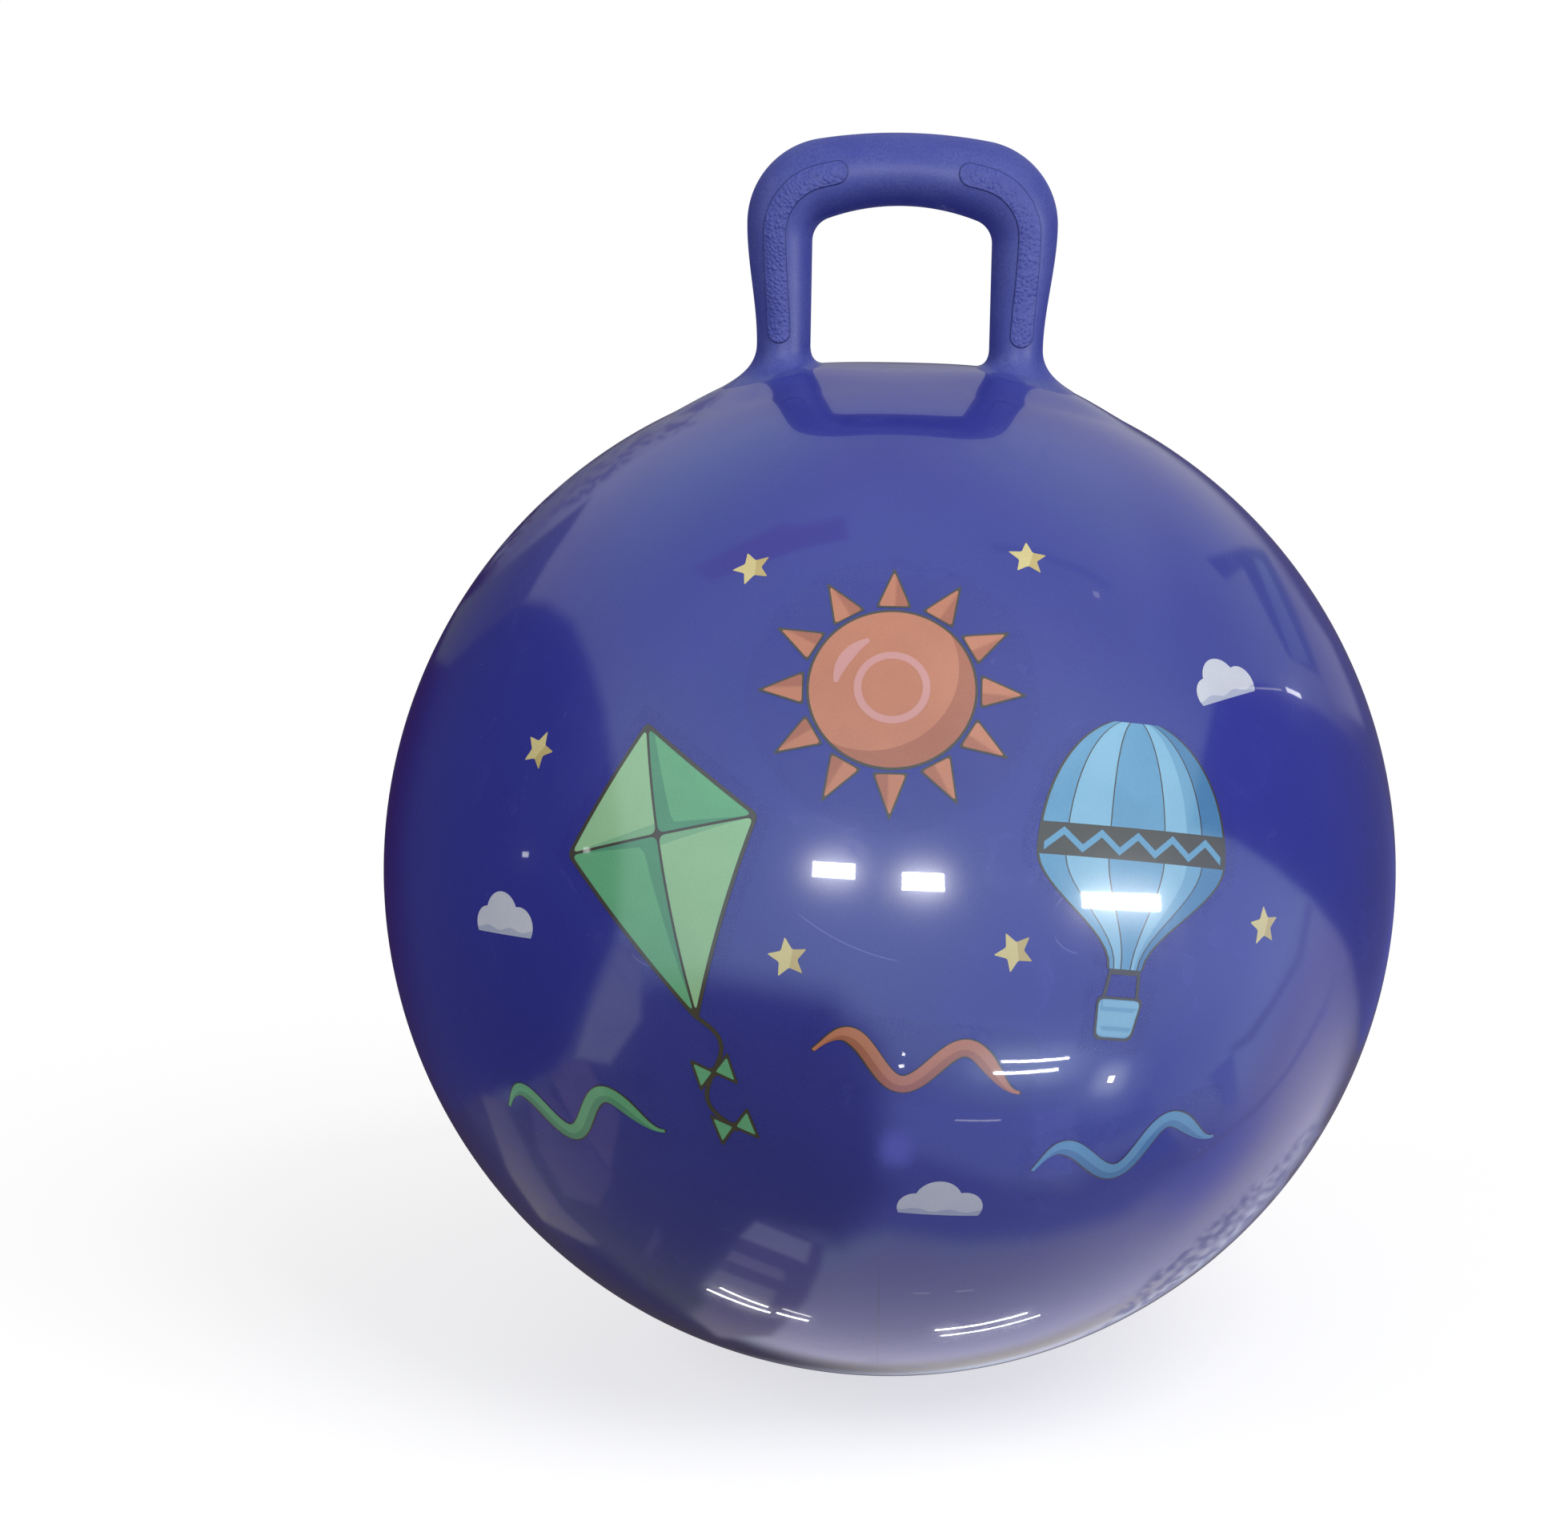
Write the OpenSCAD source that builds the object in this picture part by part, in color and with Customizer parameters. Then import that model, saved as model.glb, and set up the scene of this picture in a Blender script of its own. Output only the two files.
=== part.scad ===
// Hopper ball: an air-filled ball that a child sits on and bounces along with,
// holding on to the closed loop of the handle. It is drawn blown up and at rest.
// Sizes are in millimetres and angles in degrees. Z points up through the handle,
// the floor is at zero height, and the printed front faces along minus Y.

/* [Ball] */
// Outside diameter of the ball when it is blown up
ball_d = 450; // [400:5:600]
// Thickness of the moulded wall
wall = 1.1; // [0.8:0.1:2]
// Radius of the patch that flattens where the ball rests on the floor
rest_r = 30; // [26:1:40]

/* [Handle] */
// Height of the handle above the top of the ball
handle_h = 101; // [92:1:120]
// Widest outside width of the handle, at its shoulders
handle_w = 135; // [130:1:150]
// Outside width of the handle at the foot of its legs
foot_w = 125; // [120:1:132]
// Width of the opening between the legs
grip_w = 78; // [72:1:84]
// Height of the grip bar at its middle
bar_t = 31.5; // [27:0.5:36]
// Thickness of the grip bar from front to back
bar_depth = 30.5; // [27:0.5:36]
// Thickness of a leg from front to back at its foot
leg_depth = 24; // [20:0.5:28]
// Radius of the outer corners
outer_corner_r = 36.8; // [32:0.2:42]
// Radius of the inner corners
inner_corner_r = 10.5; // [8:0.5:14]
// Radius of the grip bar's slight arch along its top
outer_arch_r = 220; // [160:5:400]
// Radius of the grip bar's slight arch along its underside
inner_arch_r = 92; // [70:2:200]
// Thickness of the hollow handle's wall
handle_wall = 3; // [2:0.25:4.5]

/* [Feet] */
// Height above the top of the ball at which a leg starts to flare
flare_h = 8.5; // [7:0.5:12]
// How far a foot spreads outwards over the ball
flare_out = 21; // [14:1:24]
// How far a foot spreads into the opening
flare_in = 7.5; // [4:0.5:10]
// How far a foot spreads to the front and to the back
flare_front = 9; // [5:0.5:12]
// Thickness of a foot's edge
foot_edge = 0.4; // [0.3:0.1:1]

/* [Handle root] */
// Length of the raised root that the handle grows out of
root_l = 176; // [170:1:200]
// Width of the raised root from front to back
root_w = 74; // [60:1:90]
// How far the root's flat middle stands above the top of the ball
root_rise = 2.1; // [1:0.1:4]
// Thickness of the root's edge
root_edge = 0.4; // [0.3:0.1:1]
// Diameter of the two ports that let air into the handle
port_d = 8; // [4:0.5:12]

/* [Grip pads] */
// Width of a pebbled grip pad
pad_w = 9; // [6:0.5:12]
// How far a grip pad stands out of the handle
pad_t = 0.5; // [0.3:0.1:1]
// Distance of a pad's upper end from the handle's middle
pad_apart = 22; // [16:1:30]
// Height of a pad's lower end above the leg's flare
pad_foot = 1.5; // [1:0.5:10]

/* [Valve] */
// Tilt of the valve from the top of the ball towards the back
valve_tilt = 35; // [30:1:60]
// Diameter of the bore that the plug goes into
bore_d = 7.6; // [6:0.1:9]
// Diameter of the plug's head
head_d = 17; // [14:0.5:20]
// Thickness of the plug's head
head_t = 1.8; // [1.2:0.1:2.5]
// Length of the plug's stem
stem_l = 17; // [14:0.5:22]
// Outside diameter of the valve seat where it shows in the wall
seat_d = 26; // [24:0.5:32]
// Diameter of the seat's flange behind the wall
flange_d = 38; // [34:1:46]
// Diameter of the boss behind the flange
boss_d = 15; // [12:0.5:20]

/* [Prints] */
// Thickness of a clear print film
film_t = 0.15; // [0.1:0.01:0.3]
// Thickness of one layer of ink
ink_t = 0.12; // [0.08:0.01:0.2]
// Width of the dark outline round a printed shape
outline = 1.8; // [1:0.1:3]
// Width of the clear film that shows round a picture
film_margin = 5; // [3:0.5:6]
// Width of the kite
kite_w = 84; // [60:1:90]
// Height of the kite without its tail
kite_h = 118; // [90:1:125]
// Diameter of the sun without its rays
sun_d = 66; // [50:1:72]
// Length of a ray of the sun
ray_l = 17; // [10:1:20]
// Width of the balloon
balloon_w = 84; // [60:1:90]
// Height of the balloon without its basket
balloon_h = 100; // [80:1:108]
// Length of a breeze, the wavy ribbon below each picture
breeze_l = 84; // [60:1:90]
// Width of a breeze's ribbon
breeze_w = 7; // [4:0.5:9]
// Diameter of a small star
star_d = 17; // [10:1:20]
// Width of a small cloud
cloud_w = 36; // [20:1:42]

/* [Hidden] */

// Clearances, and the length by which a cutting shape overruns
part_gap = 0.2;
fit_gap = 0.05;
film_gap = 0.1;
layer_gap = 0.04;
plug_clearance = 0.06;
overrun = 2;

// Numbers of steps round spheres, tubes and curves
sphere_steps = 180;
round_steps = 64;
tube_sides = 24;
leg_steps = 4;
corner_steps = 6;
arch_steps = 3;
flare_steps = 4;
root_sides = 48;
pad_rings = 18;
pad_strips = 4;
wave_steps = 40;
corner_points = 4;

// The ball sinks a little into its own flat patch
ball_r = ball_d / 2;
centre_z = sqrt(ball_r * ball_r - rest_r * rest_r);
top_z = ball_r + handle_h;

// Centres of the arcs that bound the handle, from the centre of the ball
outer_arch_z = top_z - outer_arch_r;
inner_arch_z = top_z - bar_t - inner_arch_r;
outer_corner = arc_seat(handle_w / 2 - outer_corner_r, outer_arch_z, outer_arch_r - outer_corner_r);
inner_corner = arc_seat(grip_w / 2 - inner_corner_r, inner_arch_z, inner_arch_r - inner_corner_r);
outer_turn = atan2(outer_corner[1] - outer_arch_z, outer_corner[0]);
inner_turn = atan2(inner_corner[1] - inner_arch_z, inner_corner[0]);
leg_z = ball_r + flare_h;
leg_x = (foot_w + grip_w) / 4;

// The share of the root's half length over which it is flat, and the shares of it
// at which its surface has points
root_flat_share = 0.45;
root_shares = [0.2, 0.4, 0.45, 0.5, 0.55, 0.6, 0.65, 0.7, 0.75, 0.8, 0.85, 0.9, 0.95, 1];
root_bed_shares = [0.125, 0.25, 0.375, 0.5, 0.625, 0.75, 0.875, 1];
// The shares of the way under a foot, from its edge to the hollow
sole_shares = [0, 0.25, 0.5, 0.75, 1];
// The width of a grip pad's round ends where they start, as a share of its full width
pad_end_share = 0.35;

// The plug and the seat that it sits in
seat_recess = head_t + fit_gap + layer_gap;
neck_l = 4;
boss_l = stem_l + seat_recess;
boss_taper = 1;
stem_r = bore_d / 2 - plug_clearance;
groove = 0.5;
rib_pitch = 3;
rib_l = 1.6;
tip_l = 2.5;
head_chamfer = 0.5;
head_clearance = 0.5;
dish_depth = 0.6;
dish_in = 2;
dish_out = 5.5;

// Places of the prints: the lengths along the ball to the right and up from the middle
// of its front, and the turn of the print round its own middle
kite_place = [-98, 56, 17];
sun_place = [0, 122, 0];
balloon_place = [106, 56, -9];
kite_breeze_place = [-140, -68, 10];
sun_breeze_place = [14, -30, -6];
balloon_breeze_place = [110, -74, 10];
star_places = [[-39, 12, 10], [-169, 82, -15], [51, 16, 25], [169, 16, 0], [-82, 173, 30], [79, 181, -10]];
cloud_places = [[173, 114, 5], [27, -98, -4], [-173, 8, 4]];

// The kite's corners as shares of its width and height, from its crossed spars
kite_shares = [[0, 0.38], [0.5, 0], [0, -0.62], [-0.5, 0]];
spar_w = 1.6;
shape_round = 3;
film_corner = 12;
round_limit_share = 0.45;
tail_l = 44;
tail_w = 1.8;
tail_swing = 7;
tail_waves = 1;
bow_w = 15;
bow_h = 9;
bow_shares = [0.5, 1];

// The sun's rays, its ring and its highlight
rays = 12;
ray_w = 13;
ray_gap = 2.5;
sun_ring = 3;
ring_share = 0.46;
shine_r_share = 0.68;
shine_w_share = 0.16;
shine_from = 115;
shine_to = 175;
bar_end_share = 0.3;

// The balloon's panels as shares of its half width, and its band and basket
gore_shares = [[-0.74, -0.3], [0.3, 0.74]];
neck_share = 0.17;
belly_share = 0.44;
band_h = 13;
band_drop = 12;
zigzags = 5;
zigzag_w = 3.2;
zigzag_share = 0.96;
basket_w = 19;
basket_h = 15;
basket_drop = 12;
basket_low_share = 0.8;
rope_w = 1.6;
rope_low_x = basket_w * basket_low_share / 2;
rope_top_x = balloon_w * neck_share / 2 - rope_w / 2;
crown_share = 0.985;
neck_z = -balloon_h / 2;
band_top_share = belly_share + band_drop / balloon_h;
band_low_share = band_top_share - band_h / balloon_h;

// A breeze's waves, and the tapered ends of its ribbon
breeze_swing = 9;
breeze_waves = 1.75;
taper_share = 0.2;
ribbon_end_share = 0.2;

// The stars' inner radius and the clouds' puffs, as shares of their size
star_points = 5;
star_in_share = 0.46;
cloud_shares = [[-0.3, 0, 0.2], [-0.05, 0.12, 0.27], [0.25, 0.02, 0.22]];
cloud_base_share = 0.2;

// Plain helpers

function lerp(a, b, t) = a + (b - a) * t;
function smooth(t) = let (u = min(1, max(0, t))) u * u * (3 - 2 * u);
function bezier(a, b, c, t) = (1 - t) * (1 - t) * a + 2 * t * (1 - t) * b + t * t * c;
function unit(v) = v / norm(v);
function on_circle(centre, r, turn) = centre + r * [cos(turn), sin(turn)];

// The centre of a corner arc at x that meets an arch centred at height z inside it
function arc_seat(x, z, reach) = [x, z + sqrt(reach * reach - x * x)];

// A closed outline moved outwards by t, for points that run anticlockwise
function grown(points, t) = let (n = len(points)) [
  for (i = [0 : n - 1])
    let (
      before = unit(points[i] - points[(i + n - 1) % n]),
      after = unit(points[(i + 1) % n] - points[i]),
      out_a = [before[1], -before[0]],
      out_b = [after[1], -after[0]]
    ) points[i] + t * (out_a + out_b) / (1 + out_a * out_b)
];

// A closed outline with its corners rounded over a length r, or less on a short side
function rounded(points, r) = let (n = len(points)) [
  for (i = [0 : n - 1])
    let (
      here = points[i],
      back = points[(i + n - 1) % n] - here,
      ahead = points[(i + 1) % n] - here,
      from = here + min(r, norm(back) * round_limit_share) * unit(back),
      to = here + min(r, norm(ahead) * round_limit_share) * unit(ahead)
    )
    for (k = [0 : corner_points]) bezier(from, here, to, k / corner_points)
];

// A ribbon of width w along a wave, with ends that taper over a share of its length
function ribbon(length, swing, waves, w, taper) = let (
  middle = [
    for (k = [0 : wave_steps]) [length * (k / wave_steps - 0.5), swing * sin(360 * waves * k / wave_steps)]
  ],
  half = [
    for (k = [0 : wave_steps])
      let (near = taper == 0 ? 1 : smooth(min(k, wave_steps - k) / wave_steps / taper))
      w / 2 * lerp(ribbon_end_share, 1, near)
  ],
  side = [
    for (k = [0 : wave_steps])
      let (d = unit(middle[min(k + 1, wave_steps)] - middle[max(k - 1, 0)])) [-d[1], d[0]]
  ]
) concat(
  [for (k = [0 : wave_steps]) middle[k] - half[k] * side[k]],
  [for (k = [wave_steps : -1 : 0]) middle[k] + half[k] * side[k]]
);

// Heights on the ball and on the root's surface, from the centre of the ball

function ball_z(p) = sqrt(ball_r * ball_r - p[0] * p[0] - p[1] * p[1]);

function root_z(p) = let (
  q = norm([2 * p[0] / root_l, 2 * p[1] / root_w]),
  z = ball_z(p),
  raised = smooth((1 - q) / (1 - root_flat_share))
) z + root_edge + part_gap + raised * (ball_r + root_rise - z);

// The handle's outline on its right side, as a pair of points on its outer and its
// inner edge. From 0 to 1 it climbs the leg, to 2 it rounds the corner, and to 3 it
// follows the arch to the middle.

function outer_edge(s) =
  s <= 1 ? [
    lerp(foot_w / 2, handle_w / 2, smooth(s)),
    lerp(leg_z, outer_corner[1], s)
  ]
  : s <= 2 ? on_circle(outer_corner, outer_corner_r, outer_turn * (s - 1))
  : on_circle([0, outer_arch_z], outer_arch_r, lerp(outer_turn, 90, s - 2));

function inner_edge(s) =
  s <= 1 ? [grip_w / 2, lerp(leg_z, inner_corner[1], s)]
  : s <= 2 ? on_circle(inner_corner, inner_corner_r, inner_turn * (s - 1))
  : on_circle([0, inner_arch_z], inner_arch_r, lerp(inner_turn, 90, s - 2));

function half_depth(s) = lerp(leg_depth, bar_depth, smooth(s / 2)) / 2;

// A point of the handle's section at s, at u and v times its half thickness and half
// depth, and side is 1 for the right half and -1 for the left
function section_point(s, u, v, inset, side) = let (
  outer = outer_edge(s),
  inner = inner_edge(s),
  half = norm(outer - inner) / 2,
  p = (outer + inner) / 2 + unit(outer - inner) * (half - inset) * u
) [side * p[0], (half_depth(s) - inset) * v, p[1]];

function section(s, inset, side) = [
  for (k = [0 : tube_sides - 1])
    let (turn = 360 * k / tube_sides) section_point(s, cos(turn), sin(turn), inset, side)
];

stations = concat(
  [for (k = [0 : leg_steps]) k / leg_steps],
  [for (k = [1 : corner_steps]) 1 + k / corner_steps],
  [for (k = [1 : arch_steps]) 2 + k / arch_steps]
);

// How far a foot spreads at a turn of its section: 0 is outwards, 180 into the opening
function flare(turn) =
  cos(turn) > 0 ? lerp(flare_front, flare_out, cos(turn) * cos(turn))
  : lerp(flare_front, flare_in, cos(turn) * cos(turn));

function foot_edge_point(k, side) = let (
  turn = 360 * k / tube_sides,
  leg = section_point(0, cos(turn), sin(turn), 0, side)
) [leg[0] + side * flare(turn) * cos(turn), leg[1] + flare(turn) * sin(turn)];

// The flared skirt of a foot, from its edge at t = 0 up to the leg at t = 1
function foot_ring(t, side) = [
  for (k = [0 : tube_sides - 1])
    let (
      turn = 360 * k / tube_sides,
      leg = section_point(0, cos(turn), sin(turn), 0, side),
      edge = foot_edge_point(k, side),
      lift = part_gap + foot_edge,
      low = [leg[0], leg[1], root_z(leg) + lift]
    ) bezier([edge[0], edge[1], root_z(edge) + lift], low, leg, t)
];

// The sole of a foot, from its edge at t = 0 to the hollow of the leg at t = 1
function sole_ring(t, side) = [
  for (k = [0 : tube_sides - 1])
    let (
      turn = 360 * k / tube_sides,
      hollow = section_point(0, cos(turn), sin(turn), handle_wall, side),
      p = lerp(foot_edge_point(k, side), [hollow[0], hollow[1]], t)
    ) [p[0], p[1], root_z(p) + part_gap]
];

function half_skin(inset, side) = [for (s = stations) section(s, inset, side)];
function turned_back(rings) = [for (i = [len(rings) - 1 : -1 : 0]) rings[i]];
function without_last(rings) = [for (i = [0 : len(rings) - 2]) rings[i]];
function foot_rings(side) = [for (k = [0 : flare_steps - 1]) foot_ring(k / flare_steps, side)];
function sole_rings(side) = [for (t = sole_shares) sole_ring(t, side)];

// A closed tube: its rings follow each other, and the last joins the first
module ring_loop(rings) {
  n = len(rings);
  m = len(rings[0]);
  polyhedron(
    points = [for (ring = rings) for (p = ring) p],
    faces = [
      for (i = [0 : n - 1]) for (k = [0 : m - 1])
        let (
          a = i * m + k,
          b = i * m + (k + 1) % m,
          c = ((i + 1) % n) * m + (k + 1) % m,
          d = ((i + 1) % n) * m + k
        )
        each [[a, b, c], [a, c, d]]
    ]
  );
}

// A bar with flat ends: its rings follow each other from end to end
module ring_bar(rings) {
  n = len(rings);
  m = len(rings[0]);
  polyhedron(
    points = [for (ring = rings) for (p = ring) p],
    faces = concat(
      [
        for (i = [0 : n - 2]) for (k = [0 : m - 1])
          let (
            a = i * m + k,
            b = i * m + (k + 1) % m,
            c = (i + 1) * m + (k + 1) % m,
            d = (i + 1) * m + k
          )
          each [[a, b, c], [a, c, d]]
      ],
      [[for (k = [m - 1 : -1 : 0]) k]],
      [[for (k = [0 : m - 1]) (n - 1) * m + k]]
    )
  );
}

// Placing on the ball: children stand on its middle, and face out of the ball with
// their own up kept upright
module at_spot(spot) {
  translate([0, 0, centre_z])
    rotate([0, 0, spot[0]])
      rotate([90 - spot[1], 0, 0])
        rotate([0, 0, spot[2]])
          children();
}

module centred_ball(r) {
  translate([0, 0, centre_z]) sphere(r, $fn = sphere_steps);
}

// A ball cut flat at a height above the floor
module standing_ball(r, floor_z) {
  difference() {
    centred_ball(r);
    translate([-ball_r, -ball_r, floor_z - ball_d]) cube([ball_d, ball_d, ball_d]);
  }
}

// A thin skin round the ball that keeps only what its flat children cover
module skin(low, thickness) {
  intersection() {
    children();
    difference() {
      centred_ball(ball_r + low + thickness);
      centred_ball(ball_r + low);
    }
  }
}

// How far a length along the ball turns round its middle
function arc_turn(l) = l / ball_r * 180 / PI;

module stamp(place) {
  at_spot([arc_turn(place[0]), arc_turn(place[1]), place[2]])
    linear_extrude(ball_r + overrun) children();
}

// A clear film lies on the ball, and small prints lie straight on it
module film() {
  skin(film_gap, film_t) children();
}

module small_ink() {
  skin(film_gap, ink_t) children();
}

// Ink layers lie over the film: 0 is the dark outline, 1 the colour, 2 the pale tint
module ink(level) {
  skin(film_gap + film_t + layer_gap + level * (layer_gap + ink_t), ink_t) children();
}

module ports(low_z, high_z) {
  for (side = [-1, 1])
    translate([side * leg_x, 0, low_z])
      cylinder(h = high_z - low_z, d = port_d, $fn = round_steps);
}

// The ball

module ball_shell() {
  color("#3f4499")
    difference() {
      standing_ball(ball_r, 0);
      standing_ball(ball_r - wall, wall);
      ports(centre_z, centre_z + ball_r + overrun);
      at_spot([180, 90 - valve_tilt, 0])
        cylinder(h = ball_r + overrun, d = seat_d + 2 * fit_gap, $fn = round_steps);
    }
}

// The handle's root, a low bed with a flat middle that runs out into the ball

function root_ring(share, bed) = [
  for (k = [0 : root_sides - 1])
    let (
      turn = 360 * k / root_sides,
      p = share / 2 * [root_l * cos(turn), root_w * sin(turn)]
    ) [p[0], p[1], bed ? ball_z(p) + part_gap : root_z(p)]
];

module root_solid() {
  rings = concat(
    [for (share = root_bed_shares) root_ring(share, true)],
    [for (i = [len(root_shares) - 1 : -1 : 0]) root_ring(root_shares[i], false)]
  );
  n = len(rings);
  bed_middle = n * root_sides;
  polyhedron(
    points = concat(
      [for (ring = rings) for (p = ring) p],
      [[0, 0, ball_r + part_gap], [0, 0, root_z([0, 0])]]
    ),
    faces = concat(
      [
        for (i = [0 : n - 2]) for (k = [0 : root_sides - 1])
          let (
            a = i * root_sides + k,
            b = i * root_sides + (k + 1) % root_sides,
            c = (i + 1) * root_sides + (k + 1) % root_sides,
            d = (i + 1) * root_sides + k
          )
          each [[a, c, b], [a, d, c]]
      ],
      [for (k = [0 : root_sides - 1]) [bed_middle, k, (k + 1) % root_sides]],
      [
        for (k = [0 : root_sides - 1])
          [bed_middle + 1, (n - 1) * root_sides + (k + 1) % root_sides, (n - 1) * root_sides + k]
      ]
    )
  );
}

module handle_root() {
  color("#444aa0")
    difference() {
      translate([0, 0, centre_z]) root_solid();
      ports(centre_z + ball_r - root_l / 2, centre_z + ball_r + root_l / 2);
    }
}

// The handle, a hollow loop that is open to the ball through its two feet

module handle() {
  color("#4b50a3")
    translate([0, 0, centre_z])
      ring_loop(concat(
        foot_rings(1),
        half_skin(0, 1),
        without_last(turned_back(without_last(half_skin(0, -1)))),
        [section(stations[0], 0, -1)],
        turned_back(foot_rings(-1)),
        sole_rings(-1),
        half_skin(handle_wall, -1),
        turned_back(without_last(half_skin(handle_wall, 1))),
        turned_back(sole_rings(1))
      ));
}

// The grip pads, raised strips along the front and the back of both corners

function pad_ring(t, from, to, pad_l) = let (
  s = lerp(from, to, t),
  near = min(t, 1 - t) * pad_l / (pad_w / 2),
  half = pad_w / 2 * max(pad_end_share, sqrt(1 - pow(max(0, 1 - near), 2))),
  half_t = norm(outer_edge(s) - inner_edge(s)) / 2,
  across = [for (k = [-pad_strips : pad_strips]) half * k / pad_strips / half_t]
) concat(
  [for (u = across) section_point(s, u, -sqrt(1 - u * u), -pad_t, 1)],
  [for (i = [len(across) - 1 : -1 : 0])
    section_point(s, across[i], -sqrt(1 - across[i] * across[i]), -part_gap / 2, 1)]
);

module grip_pads() {
  from = pad_foot / (outer_corner[1] - leg_z);
  corner_end = (outer_edge(2)[0] + inner_edge(2)[0]) / 2;
  to = 3 - pad_apart / corner_end;
  pad_l = outer_corner[1] - leg_z - pad_foot
    + (outer_corner_r + inner_corner_r) / 2 * outer_turn * PI / 180
    + corner_end - pad_apart;
  color("#4247a0")
    translate([0, 0, centre_z])
      for (x = [0, 1]) for (y = [0, 1])
        mirror([x, 0, 0]) mirror([0, y, 0])
          ring_bar([
            for (k = [0 : pad_rings])
              pad_ring((1 - cos(180 * k / pad_rings)) / 2, from, to, pad_l)
          ]);
}

// The valve

module valve_seat() {
  valve = [180, 90 - valve_tilt, 0];
  color("#3a3f92")
    difference() {
      union() {
        intersection() {
          centred_ball(ball_r);
          at_spot(valve) translate([0, 0, ball_r - neck_l])
            cylinder(h = neck_l + overrun, d = seat_d, $fn = round_steps);
        }
        intersection() {
          centred_ball(ball_r - wall - fit_gap);
          at_spot(valve) translate([0, 0, ball_r - neck_l])
            cylinder(h = neck_l + overrun, d = flange_d, $fn = round_steps);
        }
        at_spot(valve) translate([0, 0, ball_r - boss_l])
          cylinder(h = boss_l - neck_l / 2, d1 = boss_d - 2 * boss_taper, d2 = boss_d, $fn = round_steps);
      }
      at_spot(valve) translate([0, 0, ball_r - seat_recess])
        cylinder(h = seat_recess + overrun, d = head_d + 2 * head_clearance, $fn = round_steps);
      at_spot(valve) translate([0, 0, ball_r - boss_l - overrun])
        cylinder(h = boss_l + 2 * overrun, d = bore_d, $fn = round_steps);
    }
}

// The plug's profile from its tip to its head, as radius and height from under the head
function rib_profile(k) = let (z = -stem_l + tip_l + k * rib_pitch) [
  [stem_r, z], [stem_r, z + rib_l], [stem_r - groove, z + rib_l], [stem_r - groove, z + rib_pitch]
];

module valve_plug() {
  ribs = floor((stem_l - tip_l - rib_l) / rib_pitch);
  color("#e9e9e4")
    at_spot([180, 90 - valve_tilt, 0])
      translate([0, 0, ball_r - seat_recess + fit_gap])
        rotate_extrude($fn = round_steps)
          polygon(concat(
            [[0, -stem_l], [stem_r - groove, -stem_l]],
            [for (k = [0 : ribs - 1]) each rib_profile(k)],
            [
              [stem_r, -stem_l + tip_l + ribs * rib_pitch],
              [stem_r, 0],
              [head_d / 2, 0],
              [head_d / 2, head_t - head_chamfer],
              [head_d / 2 - head_chamfer, head_t],
              [dish_out, head_t],
              [dish_out - head_chamfer, head_t - dish_depth],
              [dish_in, head_t - dish_depth],
              [dish_in, head_t],
              [0, head_t]
            ]
          ));
}

// The pictures, as flat shapes that face the viewer

kite_outline = [for (p = kite_shares) [p[0] * kite_w, p[1] * kite_h]];

// One of the kite's four panels, between its middle and two of its corners
function kite_panel(k) = [[0, 0], kite_outline[(k + 1) % 4], kite_outline[k]];

module kite_panels(first, inset) {
  for (k = [first, first + 2])
    polygon(rounded(grown(kite_panel(k), -inset), shape_round));
}

function tail_point(share) = [
  tail_swing * sin(360 * tail_waves * share),
  kite_outline[2][1] - tail_l * share
];

module bows() {
  for (share = bow_shares)
    translate(tail_point(share))
      for (side = [0, 1]) mirror([side, 0, 0])
        polygon(rounded([[tail_w / 2, 0], [bow_w / 2, -bow_h / 2], [bow_w / 2, bow_h / 2]], tail_w / 2));
}

// A plain plate behind each bow, reaching past it on every side
module bow_plates(extra) {
  for (share = bow_shares)
    translate(tail_point(share)) plate(bow_w + 2 * extra, bow_h + 2 * extra, shape_round);
}

module kite_tail() {
  translate([0, kite_outline[2][1] - tail_l / 2])
    rotate([0, 0, -90])
      polygon(ribbon(tail_l, tail_swing, tail_waves, tail_w, 0));
}

module breeze(extra) {
  polygon(ribbon(breeze_l + 2 * extra, breeze_swing, breeze_waves, breeze_w + 2 * extra, taper_share));
}

module plate(w, h, r) {
  polygon(rounded([[-w / 2, -h / 2], [w / 2, -h / 2], [w / 2, h / 2], [-w / 2, h / 2]], r));
}

module breeze_plate() {
  plate(breeze_l + 2 * film_margin, 2 * breeze_swing + breeze_w + 2 * film_margin, film_corner);
}

module kite_shape(extra) {
  polygon(rounded(grown([for (i = [3 : -1 : 0]) kite_outline[i]], extra), shape_round));
}

module kite_film() {
  color("#e8ecf4")
    film() {
      stamp(kite_place) {
        kite_shape(outline + film_margin);
        translate([0, kite_outline[2][1] - tail_l / 2])
          square([2 * tail_swing, tail_l], center = true);
        bow_plates(outline + film_margin);
      }
      stamp(kite_breeze_place) breeze_plate();
    }
}

module kite_dark_ink() {
  color("#4b4640")
    ink(0) {
      stamp(kite_place) {
        kite_shape(outline);
        kite_tail();
        bow_plates(outline);
      }
      stamp(kite_breeze_place) breeze(outline / 2);
    }
}

module kite_green_ink() {
  color("#78c293")
    ink(1) {
      stamp(kite_place) {
        kite_panels(0, spar_w / 2);
        bows();
      }
      stamp(kite_breeze_place) breeze(0);
    }
}

module kite_pale_ink() {
  color("#aedcae")
    ink(1)
      stamp(kite_place) kite_panels(1, spar_w / 2);
}

// The sun, with a ring in its disc and a bent highlight

module disc(r) {
  circle(r, $fn = round_steps);
}

// A bar bent round the middle at radius r, which is w wide at its middle and thin at its ends
function bent_bar(r, w, from, to) = let (n = 2 * corner_points) concat(
  [for (k = [0 : n]) on_circle([0, 0], r + bent_half(w, k / n), lerp(from, to, k / n))],
  [for (k = [n : -1 : 0]) on_circle([0, 0], r - bent_half(w, k / n), lerp(from, to, k / n))]
);

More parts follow.
